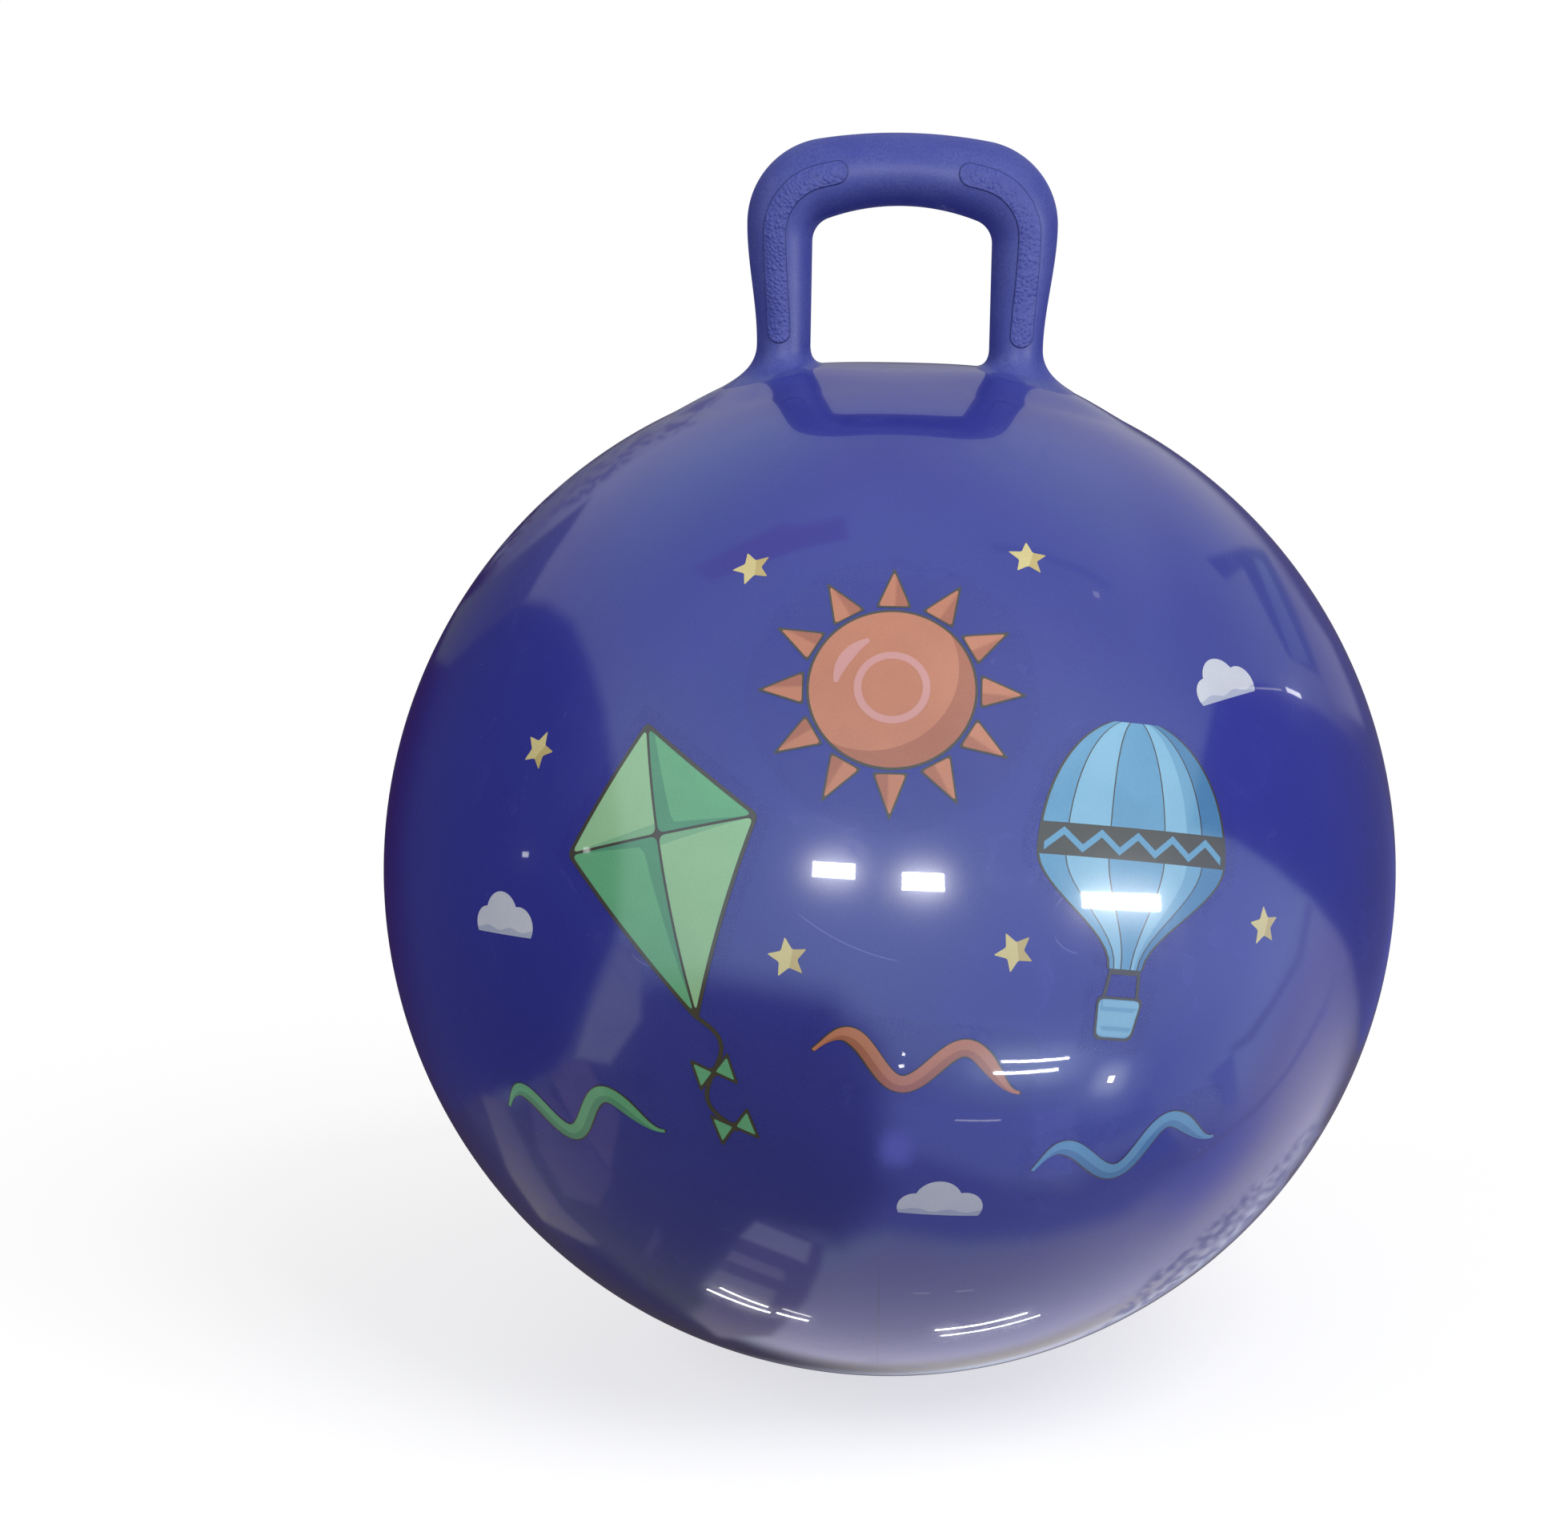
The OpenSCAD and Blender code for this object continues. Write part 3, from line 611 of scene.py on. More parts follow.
@dataclass(frozen=True)
class BallForm:
    """The ball's blown-up form, with the raised root of the handle on top of it, in metres."""

    radius: float = 225 * MM
    wall: float = 1.1 * MM
    patch_radius: float = 30 * MM
    root_length: float = 210 * MM
    root_width: float = 104 * MM
    root_rise: float = 0.9 * MM
    root_flat: float = 0.095

    @property
    def centre(self) -> Vector:
        """The middle of the ball."""
        return Vector((0, 0, math.sqrt(self.radius**2 - self.patch_radius**2)))

    def skin(self, x: np.ndarray | float, y: np.ndarray | float) -> np.ndarray | float:
        """Give the height of the upper skin over the ball's middle.

        Args:
            x: Distance to the right.
            y: Distance to the back.

        Returns:
            The height in metres.
        """
        x, y = np.asarray(x), np.asarray(y)
        q = np.hypot(2 * x / self.root_length, 2 * y / self.root_width)
        lift = self.radius + self.root_rise - np.sqrt(self.radius**2 - x**2)
        return np.sqrt(self.radius**2 - x**2 - y**2) + smooth((1 - q) / (1 - self.root_flat)) * lift

    def turn(self, length_mm: float) -> float:
        """Give the angle round the middle, in radians, of a length in millimetres along the ball."""
        return length_mm * MM / self.radius

    def facing(self, azimuth: float, elevation: float, roll: float = 0.0) -> Matrix:
        """Give the turn that lets a flat print or fitting face out of the ball.

        Args:
            azimuth: Angle to the right of the front, in radians.
            elevation: Angle above the ball's middle, in radians.
            roll: Turn round the way that it faces, in radians.

        Returns:
            The rotation, whose third axis points out of the ball.
        """
        return (
            Matrix.Rotation(azimuth, 3, "Z")
            @ Matrix.Rotation(math.pi / 2 - elevation, 3, "X")
            @ Matrix.Rotation(roll, 3, "Z")
        )


@dataclass
class BallSkin:
    """The moulded ball with its wall, the handle's root and the hole for the valve."""

    form: BallForm
    sides: int = 288
    top_angle: float = 30.0
    top_step: float = 0.5
    step: float = 1.25
    inner_sides: int = 96
    inner_rings: int = 48
    valve_hole: float = 13.05 * MM
    patch_rings: Pair = (0.8, 0.4)
    sharp: float = 35
    finish: GlossyPvc = field(default_factory=GlossyPvc)

    def build(self, valve_turn: Matrix) -> Thing:
        """Build the skin.

        Args:
            valve_turn: The rotation whose third axis is the valve's.

        Returns:
            The piece.
        """
        points, inner = self.outer(), self.inner()
        faces = self.capped(len(points), self.sides)
        inside = self.capped(len(inner), self.inner_sides)
        faces += [tuple(len(points) + k for k in reversed(face)) for face in inside]
        material = self.finish.material()
        piece = make_piece(
            "ball_skin", points + inner, faces, material, "ball_pvc", "ball_shell", "handle_root"
        )
        self.cut_hole(piece, valve_turn)
        piece.data.set_sharp_from_angle(angle=math.radians(self.sharp))
        return piece

    def outer(self) -> list[Place]:
        """Make the outer surface's points, from the top down to the flat patch.

        Returns:
            The top point, the rings and the bottom point.
        """
        end = 180 - math.degrees(math.asin(self.form.patch_radius / self.form.radius))
        near_top = np.arange(self.top_step, self.top_angle, self.top_step)
        wide = np.linspace(self.top_angle, end, int((end - self.top_angle) / self.step) + 1)
        turns = np.arange(self.sides) * 2 * math.pi / self.sides
        middle = self.form.centre.z
        points = [(0.0, 0.0, middle + float(self.form.skin(0.0, 0.0)))]
        for angle in np.radians(np.concatenate([near_top, wide])):
            r = self.form.radius * math.sin(angle)
            x, y = r * np.cos(turns), r * np.sin(turns)
            z = np.full(self.sides, self.form.radius * math.cos(angle))
            # The root reaches down to here at most
            if angle < math.pi / 3:
                z = self.form.skin(x, y)
            points += list(zip(x, y, middle + z))
        for share in self.patch_rings:
            points += ring(self.form.patch_radius * share, 0.0, self.sides)
        return points + [(0.0, 0.0, 0.0)]

    def inner(self) -> list[Place]:
        """Make the inner surface's points, a wall's thickness inside.

        Returns:
            The top point, the rings and the bottom point.
        """
        r, middle = self.form.radius - self.form.wall, self.form.centre.z
        end = math.acos((self.form.wall - middle) / r)
        points = [(0.0, 0.0, middle + r)]
        for angle in np.linspace(0, end, self.inner_rings + 1)[1:]:
            points += ring(r * math.sin(angle), middle + r * math.cos(angle), self.inner_sides)
        return points + [(0.0, 0.0, self.form.wall)]

    @staticmethod
    def capped(total: int, sides: int) -> Faces:
        """Join a top point, rings that go down, and a bottom point.

        Args:
            total: The number of points in all.
            sides: Points in each ring.

        Returns:
            The faces, facing out of the ball.
        """
        last = total - 1 - sides
        faces = [(0, 1 + k, 1 + (k + 1) % sides) for k in range(sides)]
        faces += [tuple(reversed(face)) for face in join_rings((total - 2) // sides, sides, start=1)]
        return faces + [(last + k, total - 1, last + (k + 1) % sides) for k in range(sides)]

    def cut_hole(self, piece: Thing, valve_turn: Matrix) -> None:
        """Cut the valve's hole through the wall.

        Args:
            piece: The skin to cut.
            valve_turn: The rotation whose third axis is the valve's.
        """
        sides = 96
        ends = [p for share in (0.9, 1.1) for p in ring(self.valve_hole, share * self.form.radius, sides)]
        points = [self.form.centre + valve_turn @ Vector(p) for p in ends]
        faces = join_rings(2, sides) + [tuple(reversed(range(sides))), tuple(range(sides, 2 * sides))]
        cutter = add_mesh("hole_cutter", points, faces)
        cut = piece.modifiers.new("valve_hole", "BOOLEAN")
        cut.operation, cut.solver, cut.object = "DIFFERENCE", "EXACT", cutter
        bpy.context.view_layer.update()
        graph = bpy.context.evaluated_depsgraph_get()
        result = bpy.data.meshes.new_from_object(piece.evaluated_get(graph))
        piece.modifiers.clear()
        spent = (piece.data, cutter.data)
        piece.data = result
        bpy.data.objects.remove(cutter)
        for mesh in spent:
            bpy.data.meshes.remove(mesh)
        LOG.info("ball_skin: hole for the valve cut, %d faces", len(result.polygons))


# ---------------------------------------------------------------- the handle


@dataclass(frozen=True)
class HandleForm:
    """The loop handle's outline and sections, in metres from the ball's middle."""

    ball: BallForm
    height: float = 101 * MM
    width: float = 135 * MM
    foot_width: float = 125 * MM
    opening: float = 78 * MM
    bar_height: float = 31.5 * MM
    bar_depth: float = 30.5 * MM
    leg_depth: float = 24 * MM
    outer_corner_radius: float = 36.8 * MM
    inner_corner_radius: float = 10.5 * MM
    outer_arch_radius: float = 220 * MM
    inner_arch_radius: float = 92 * MM
    flare_height: float = 8.5 * MM

    @property
    def leg_low(self) -> float:
        """The height at which a leg starts to flare."""
        return self.ball.radius + self.flare_height

    @property
    def outer_arch(self) -> float:
        """The height of the middle of the top's arch."""
        return self.ball.radius + self.height - self.outer_arch_radius

    @property
    def inner_arch(self) -> float:
        """The height of the middle of the underside's arch."""
        return self.ball.radius + self.height - self.bar_height - self.inner_arch_radius

    @staticmethod
    def seat(x: float, z: float, reach: float) -> np.ndarray:
        """Find the middle of a corner at x that meets an arch whose middle is at height z.

        Args:
            x: The corner's distance from the handle's middle.
            z: The height of the arch's middle.
            reach: The arch's radius less the corner's.

        Returns:
            The corner's middle.
        """
        return np.array((x, z + math.sqrt(reach**2 - x**2)))

    @property
    def outer_corner(self) -> np.ndarray:
        """The middle of the outer corner."""
        reach = self.outer_arch_radius - self.outer_corner_radius
        return self.seat(self.width / 2 - self.outer_corner_radius, self.outer_arch, reach)

    @property
    def inner_corner(self) -> np.ndarray:
        """The middle of the inner corner."""
        reach = self.inner_arch_radius - self.inner_corner_radius
        return self.seat(self.opening / 2 - self.inner_corner_radius, self.inner_arch, reach)

    @staticmethod
    def on_circle(middle: np.ndarray, radius: float, turn: float) -> np.ndarray:
        """Give the point of a circle at a turn in radians."""
        return np.array((middle[0] + radius * math.cos(turn), middle[1] + radius * math.sin(turn)))

    def edge(self, s: float, outer: bool) -> np.ndarray:
        """Follow the right half of the outline: up the leg to 1, round the corner to 2, along the arch to 3.

        Args:
            s: The place along the outline.
            outer: Whether it is the outer edge.

        Returns:
            The point as a distance to the right and a height.
        """
        corner = self.outer_corner if outer else self.inner_corner
        radius = self.outer_corner_radius if outer else self.inner_corner_radius
        arch = self.outer_arch if outer else self.inner_arch
        arch_radius = self.outer_arch_radius if outer else self.inner_arch_radius
        turn = math.atan2(corner[1] - arch, corner[0])
        if s <= 1:
            low = self.foot_width / 2 if outer else self.opening / 2
            high = self.width / 2 if outer else self.opening / 2
            return np.array((lerp(low, high, float(smooth(s))), lerp(self.leg_low, corner[1], s)))
        if s <= 2:
            return self.on_circle(corner, radius, turn * (s - 1))
        return self.on_circle(np.array((0.0, arch)), arch_radius, lerp(turn, math.pi / 2, s - 2))

    def half_depth(self, s: float) -> float:
        """Give half of the thickness from front to back at s."""
        return lerp(self.leg_depth, self.bar_depth, float(smooth(s / 2))) / 2

    def half_height(self, s: float) -> float:
        """Give half of the thickness in the handle's own plane at s."""
        return float(np.linalg.norm(self.edge(s, True) - self.edge(s, False))) / 2

    def point(self, s: float, u: float, v: float, inset: float, side: int) -> Place:
        """Give a point of the section at s.

        Args:
            s: The place along the handle.
            u: Outwards in the handle's plane, from -1 to 1.
            v: To the back, from -1 to 1.
            inset: How far inside the surface, or outside where it is negative.
            side: 1 for the right half, -1 for the left.

        Returns:
            The point from the ball's middle.
        """
        outer, inner = self.edge(s, True), self.edge(s, False)
        across = outer - inner
        half = float(np.linalg.norm(across)) / 2
        p = (outer + inner) / 2 + across / (2 * half) * (half - inset) * u
        return (side * float(p[0]), (self.half_depth(s) - inset) * v, float(p[1]))


@dataclass
class Handle:
    """The hollow loop handle, which runs out over the ball in two flared feet."""

    form: HandleForm
    wall: float = 3 * MM
    flare_out: float = 19 * MM
    flare_in: float = 7.5 * MM
    flare_front: float = 9 * MM
    sides: int = 80
    leg_rings: int = 26
    corner_rings: int = 36
    arch_rings: int = 20
    foot_rings: int = 16
    sunk: float = 0.25 * MM
    soles: tuple[float, ...] = (0.15, 0.6, 1.0)
    # The share of a foot at which its grain starts, and over which it comes up
    grain_from: float = 0.1
    grain_over: float = 0.5
    finish: SatinPvc = field(default_factory=SatinPvc)

    def stations(self) -> list[float]:
        """Give the places of the rings from the foot to the middle of the bar.

        Returns:
            The places, from 0 to 3.
        """
        leg = [k / self.leg_rings for k in range(self.leg_rings + 1)]
        corner = [1 + k / self.corner_rings for k in range(1, self.corner_rings + 1)]
        arch = [2 + k / self.arch_rings for k in range(1, self.arch_rings + 1)]
        return leg + corner + arch

    def ring(self, s: float, inset: float, side: int) -> list[Place]:
        """Make the ring of the section at s.

        Args:
            s: The place along the handle.
            inset: How far inside the surface.
            side: 1 for the right half, -1 for the left.

        Returns:
            The ring's points.
        """
        turns = [2 * math.pi * k / self.sides for k in range(self.sides)]
        return [self.form.point(s, math.cos(t), math.sin(t), inset, side) for t in turns]

    def flare(self, turn: float) -> float:
        """Give how far a foot spreads: at a turn of 0 outwards, at half a turn into the opening."""
        share = math.cos(turn) ** 2
        return lerp(self.flare_front, self.flare_out if math.cos(turn) > 0 else self.flare_in, share)

    def foot_ring(self, t: float, side: int, sunk: float) -> list[Place]:
        """Make a ring of a foot, which leaves the ball level and meets the leg upright.

        Args:
            t: 0 at the foot's edge and 1 at the leg.
            side: 1 for the right foot, -1 for the left.
            sunk: How far the ring lies under the skin.

        Returns:
            The ring's points.
        """
        ring = []
        for k, leg in enumerate(self.ring(0.0, 0.0, side)):
            turn = 2 * math.pi * k / self.sides
            spread = self.flare(turn) * (1 - t) ** 2
            x = leg[0] + side * spread * math.cos(turn)
            y = leg[1] + spread * math.sin(turn)
            rise = leg[2] - float(self.form.ball.skin(leg[0], leg[1]))
            ring.append((x, y, float(self.form.ball.skin(x, y)) + rise * t * t - sunk))
        return ring

    def sole_ring(self, t: float, side: int) -> list[Place]:
        """Make a ring of a foot's underside, from its edge at 0 to the hollow at 1.

        Args:
            t: 0 at the foot's edge and 1 at the hollow.
            side: 1 for the right foot, -1 for the left.

        Returns:
            The ring's points.
        """
        edge, hollow = self.foot_ring(0.0, side, 0.0), self.ring(0.0, self.wall, side)
        ring = []
        for a, b in zip(edge, hollow):
            x, y = lerp(a[0], b[0], t), lerp(a[1], b[1], t)
            ring.append((x, y, float(self.form.ball.skin(x, y)) - 2 * self.sunk))
        return ring

    def outside(self, side: int) -> list[tuple[list[Place], float]]:
        """Make half of the outer surface, from a foot's edge to the middle of the bar.

        Args:
            side: 1 for the right half, -1 for the left.

        Returns:
            The rings, each with how satin it is.
        """
        rings = []
        for k in range(self.foot_rings):
            t = k / self.foot_rings
            sunk = self.sunk * (1 - float(smooth(5 * t)))
            grain = float(smooth((t - self.grain_from) / self.grain_over))
            rings.append((self.foot_ring(t, side, sunk), grain))
        return rings + [(self.ring(s, 0.0, side), 1.0) for s in self.stations()]

    def inside(self, side: int) -> list[tuple[list[Place], float]]:
        """Make half of the sole and the hollow, from a foot's edge to the middle of the bar.

        Args:
            side: 1 for the right half, -1 for the left.

        Returns:
            The rings, each with how satin it is.
        """
        places = self.stations()
        rings = [self.sole_ring(t, side) for t in self.soles]
        rings += [self.ring(s, self.wall, side) for s in places[::4] + places[-1:]]
        return [(one, 1.0) for one in rings]

    def build(self) -> Thing:
        """Build the handle as one closed tube inside a tube.

        Returns:
            The piece.
        """
        rings = self.outside(1) + self.outside(-1)[-2::-1]
        # The left foot's edge comes twice, which keeps it crisp
        rings += [(self.foot_ring(0.0, -1, self.sunk), 0.0)]
        rings += self.inside(-1) + self.inside(1)[-2::-1]
        middle = self.form.ball.centre.z
        points = [(x, y, middle + z) for one, _ in rings for x, y, z in one]
        faces = join_rings(len(rings), self.sides, closed=True)
        satin = ("satin", np.repeat([share for _, share in rings], self.sides))
        material = self.finish.material()
        return make_piece(
            "loop_handle", points, faces, material, "handle_pvc", "handle", sharp=60, share=satin
        )


@dataclass
class GripPads:
    """The four raised strips round the handle's corners, pebbled like leather for a sure grip."""

    form: HandleForm
    width: float = 10.2 * MM
    outwards: float = 1.9 * MM
    stand: float = 0.75 * MM
    sunk: float = 0.3 * MM
    edge: float = 0.8 * MM
    apart: float = 23.5 * MM
    foot: float = 1.5 * MM
    pebble: float = 1.9 * MM
    pebble_height: float = 0.3 * MM
    pebble_edge: float = 0.55
    wander: float = 0.25
    grid: float = 0.33 * MM
    margin: float = 0.6 * MM
    root: float = 2.5
    # How dark the painted shade along a pad's edge is at most
    shadow: float = 0.85
    seed_step: float = 7.3
    finish: SatinPvc = field(
        default_factory=lambda: SatinPvc(
            name="pebbled_pvc_grip",
            colour="#4b52a8",
            deep="#444b9f",
            roughness=0.5,
            grain_height_mm=0.16,
            melts=False,
            scuff=False,
            painted_crease_shade=True,
        )
    )

    def middle_line(self) -> tuple[list[float], float]:
        """Find evenly spaced places along a pad.

        Returns:
            The places along the handle, and the pad's whole length.
        """
        climb = float(self.form.outer_corner[1]) - self.form.leg_low
        end = (self.form.edge(2, True)[0] + self.form.edge(2, False)[0]) / 2
        first, last = (self.foot - self.margin) / climb, 3 - (self.apart - self.margin) / float(end)
        fine = np.linspace(first, last, 1200)
        line = np.array([(self.form.edge(s, True) + self.form.edge(s, False)) / 2 for s in fine])
        run = np.concatenate([[0], np.cumsum(np.linalg.norm(np.diff(line, axis=0), axis=1))])
        even = np.linspace(0, run[-1], int(run[-1] / self.grid) + 1)
        return list(np.interp(even, run, fine)), float(run[-1])

    def inside(self, along: float, across: float, length: float) -> float:
        """Give how far a point lies inside a pad's outline, below 0 outside it.

        Args:
            along: Distance along the pad from the end of its patch.
            across: Distance from its middle line.
            length: The patch's length.

        Returns:
            The distance to the outline in metres.
        """
        half = self.width / 2
        low, high = self.margin + half, length - self.margin - half
        return half - math.hypot(along - min(max(along, low), high), across)

    def relief(self, along: float, across: float, length: float, seed: float) -> float:
        """Give how far the pad stands out of the handle.

        Args:
            along: Distance along the pad from the end of its patch.
            across: Distance from its middle line.
            length: The patch's length.
            seed: Moves the pebbles, so that no two pads are alike.

        Returns:
            The height in metres, below 0 outside the pad.
        """
        inside = self.inside(along, across, length)
        top = self.stand - self.pebble_height / 2
        body = lerp(-self.sunk, top, float(smooth(inside / self.edge + 0.5)))
        x, y = along / self.pebble, across / self.pebble
        near = noise.voronoi(Vector((x, y, seed)))[0]
        dome = float(smooth((near[1] - near[0]) / self.pebble_edge)) - 0.5
        wander = self.wander * noise.noise(Vector((x, y, seed + 40.0)))
        fade = float(smooth((inside - 0.3 * self.edge) / self.edge))
        return body + self.pebble_height * (dome + wander) * fade

    def build(self) -> Thing:
        """Build the four pads as one piece.

        Returns:
            The piece.
        """
        places, length = self.middle_line()
        reach = self.width / 2 + self.margin
        columns = int(2 * reach / self.grid) + 1
        halves = [self.form.half_height(s) for s in places]
        middle = self.form.ball.centre.z
        points, faces, painted_crease_shade = [], [], []
        for seed, (side, way) in enumerate(((1, -1), (-1, -1), (1, 1), (-1, 1))):
            start, base = len(points), []
            for i, s in enumerate(places):
                along = length * i / (len(places) - 1)
                for a in np.linspace(-reach, reach, columns).tolist():
                    u = (a + self.outwards) / halves[i]
                    v = way * math.sqrt(1 - u * u)
                    stand = self.relief(along, a, length, self.seed_step * seed)
                    # Painted shade: darker towards the pad's edge, where shade falls into the step round it
                    deep = self.inside(along, a, length) / self.edge - 0.1
                    painted_crease_shade.append(self.shadow * (1 - float(smooth(deep))))
                    for layer, inset in ((points, -stand), (base, self.root * self.sunk)):
                        x, y, z = self.form.point(s, u, v, inset, side)
                        layer.append((x, y, middle + z))
            points += base
            painted_crease_shade += [0.0] * len(base)
            faces += self.slab(start, len(places), columns, side * way > 0)
        material = self.finish.material()
        return make_piece(
            "grip_pad_strips", points, faces, material, "grip_pvc", "grip_pads", share=("painted_crease_shade", painted_crease_shade)
        )

    @staticmethod
    def slab(start: int, rows: int, columns: int, flip: bool) -> Faces:
        """Join a top grid and a base grid to a closed slab.

        Args:
            start: The number of the first point.
            rows: Rows of each grid.
            columns: Columns of each grid.
            flip: Whether the faces turn the other way.

        Returns:
            The faces.
        """
        under = start + rows * columns
        faces = []
        for i in range(rows - 1):
            for k in range(columns - 1):
                a = i * columns + k
                quad = (a, a + 1, a + columns + 1, a + columns)
                faces.append(tuple(start + p for p in quad))
                faces.append(tuple(under + p for p in reversed(quad)))
        rim = list(range(columns))
        rim += [i * columns + columns - 1 for i in range(1, rows)]
        rim += [(rows - 1) * columns + k for k in range(columns - 2, -1, -1)]
        rim += [i * columns for i in range(rows - 2, 0, -1)]
        for a, b in zip(rim, rim[1:] + rim[:1]):
            faces.append((start + b, start + a, under + a, under + b))
        return [tuple(reversed(face)) for face in faces] if flip else faces


# ---------------------------------------------------------------- the valve


@dataclass
class Valve:
    """The thick seat in the wall and the push-in plug that closes it, in millimetres."""

    form: BallForm
    tilt: float = 35.0
    bore: float = 7.6
    head: float = 17
    head_thickness: float = 1.8
    stem: float = 17
    stem_play: float = 0.06
    mouth_gap: float = 0.5
    seat: float = 26
    flange: float = 38
    boss: float = 15
    boss_depth: float = 18.9
    recess: float = 1.89
    neck: float = 4
    lift: float = 0.05
    ribs: int = 4
    rib_pitch: float = 3
    rib_height: float = 0.5
    sides: int = 96

    @property
    def turn(self) -> Matrix:
        """The rotation whose third axis is the valve's."""
        return self.form.facing(math.pi, math.radians(90 - self.tilt))

    def lathe(self, profile: Sequence[Pair], domed: bool = False) -> tuple[list, Faces]:
        """Turn a profile about the valve's axis.

        Args:
            profile: Radius and height pairs in metres from the axis, round the section and back to
                the axis or to the first pair, where the height is from the ball's surface.
            domed: Whether heights at the top follow the ball's curve.

        Returns:
            The points and the faces.
        """
        radius, top = self.form.radius, -3 * MM
        points, faces, loops = [], [], []
        for r, z in profile:
            drop = radius - math.sqrt(radius**2 - r * r) if domed and z > top else 0.0
            count = 1 if r < 1e-7 else self.sides
            loops.append((len(points), count))
            level = ring(r, radius + z - drop, self.sides)[:count]
            points += [self.form.centre + self.turn @ Vector(p) for p in level]
        pairs = list(zip(loops, loops[1:]))
        if loops[0][1] > 1:
            pairs.append((loops[-1], loops[0]))
        for (a, na), (b, nb) in pairs:
            for k in range(self.sides):
                m = (k + 1) % self.sides
                if na == 1:
                    faces.append((a, b + m, b + k))
                elif nb == 1:
                    faces.append((a + k, a + m, b))
                else:
                    faces.append((a + k, a + m, b + m, b + k))
        return points, faces

    @staticmethod
    def eased(corners: Sequence[Place], steps: int = 5) -> list[Pair]:
        """Round the corners of a profile.

        Args:
            corners: Radius, height and rounding of each corner in millimetres.
            steps: Points on a rounded corner.

        Returns:
            The profile in metres.
        """
        profile = []
        for i, (r, z, ease) in enumerate(corners):
            here = np.array((r, z))
            if ease == 0:
                profile.append((r * MM, z * MM))
                continue
            before = np.array(corners[i - 1][:2]) - here
            after = np.array(corners[(i + 1) % len(corners)][:2]) - here
            a = here + before / np.linalg.norm(before) * ease
            b = here + after / np.linalg.norm(after) * ease
            for k in range(steps):
                t = k / (steps - 1)
                p = (1 - t) ** 2 * a + 2 * t * (1 - t) * here + t * t * b
                profile.append((float(p[0]) * MM, float(p[1]) * MM))
        return profile

    def build_seat(self) -> Thing:
        """Build the seat with its recess, bore, flange and boss.

        Returns:
            The piece.
        """
        outer, mouth = self.seat / 2, self.head / 2 + self.mouth_gap
        bore, flange, boss = self.bore / 2, self.flange / 2, self.boss / 2
        corners = [
            (bore, -self.boss_depth, 0.3),
            (boss - 1, -self.boss_depth, 0.6),
            (boss, -self.neck - 0.6, 0.8),
            (flange, -self.neck, 0.3),
            (flange, -2.95, 0.3),
            (outer, -1.25, 0),
            (outer, -0.02, 0.35),
            (mouth + 1.6, 0.0, 0),
            (mouth + 1.1, 0.0, 0.3),
            (mouth, -0.05, 0.4),
            (mouth, -self.recess, 0.25),
            (bore, -self.recess, 0.45),
        ]
        points, faces = self.lathe(self.eased(corners), domed=True)
        finish = GlossyPvc(
            name="thick_pvc_valve_seat",
            colour="#2f3390",
            deep="#2b2e84",
            skin_roughness=0.16,
            seam=False,
            peel_mm=2.5,
            peel_height_mm=0.01,
        )
        material = finish.material()
        return make_piece(
            "valve_seat_boss", points, faces, material, "valve_pvc", "valve_seat", sharp=50
        )

    def build_plug(self) -> Thing:
        """Build the plug with its dished head and its ribbed stem.

        Returns:
            The piece.
        """
        stem, head = self.bore / 2 - self.stem_play, self.head / 2
        core, under = stem - self.rib_height, self.lift - self.recess
        end, top = under - self.stem, under + self.head_thickness
        corners = [(0, end, 0), (stem - 1.1, end, 0.4)]
        for k in range(self.ribs):
            low = end + 2.5 + self.rib_pitch * k
            rib = ((core, 0, 0.15), (stem, 0.7, 0.25), (stem, 1.6, 0.2), (core, 1.75, 0.1))
            corners += [(r, low + up, ease) for r, up, ease in rib]
        corners += [
            (core, under - 2.2, 0.15),
            (stem, under - 1.6, 0.2),
            (stem, under, 0.3),
            (head - 0.1, under, 0.25),
            (head, under + 1.1, 0.3),
            (head - 0.5, top, 0.35),
            # The ring and the dish in the head
            (5.9, top, 0.3),
            (5.0, top - 0.6, 0.4),
            (2.4, top - 0.6, 0.3),
            (2.0, top - 0.05, 0.25),
            (0, top, 0),
        ]
        points, faces = self.lathe(self.eased(corners))
        material = MouldedPolyethylene().material()
        return make_piece(
            "push_in_plug", points, faces, material, "plug_plastic", "valve_plug", body=Body.PLUG, sharp=55
        )


# ---------------------------------------------------------------- the prints


def grown(points: Outline, t: float) -> Outline:
    """Move a closed anticlockwise outline outwards.

    Args:
        points: The outline.
        t: How far.

    Returns:
        The moved outline.
    """
    before = points - np.roll(points, 1, axis=0)
    before /= np.linalg.norm(before, axis=1)[:, None]
    after = np.roll(before, -1, axis=0)
    out_a = np.stack([before[:, 1], -before[:, 0]], axis=1)
    out_b = np.stack([after[:, 1], -after[:, 0]], axis=1)
    return points + t * (out_a + out_b) / (1 + (out_a * out_b).sum(axis=1))[:, None]


def rounded(points: Outline, r: float, steps: int = 7) -> Outline:
    """Round the corners of a closed outline.

    Args:
        points: The outline.
        r: The length over which a corner bends, or less on a short side.
        steps: Points on a corner.

    Returns:
        The rounded outline.
    """
    result = []
    for i, here in enumerate(points):
        back, ahead = points[i - 1] - here, points[(i + 1) % len(points)] - here
        long_back, long_ahead = np.linalg.norm(back), np.linalg.norm(ahead)
        a = here + back / long_back * min(r, 0.45 * long_back)
        b = here + ahead / long_ahead * min(r, 0.45 * long_ahead)
        for t in np.linspace(0, 1, steps):
            result.append((1 - t) ** 2 * a + 2 * t * (1 - t) * here + t * t * b)
    return np.array(result)


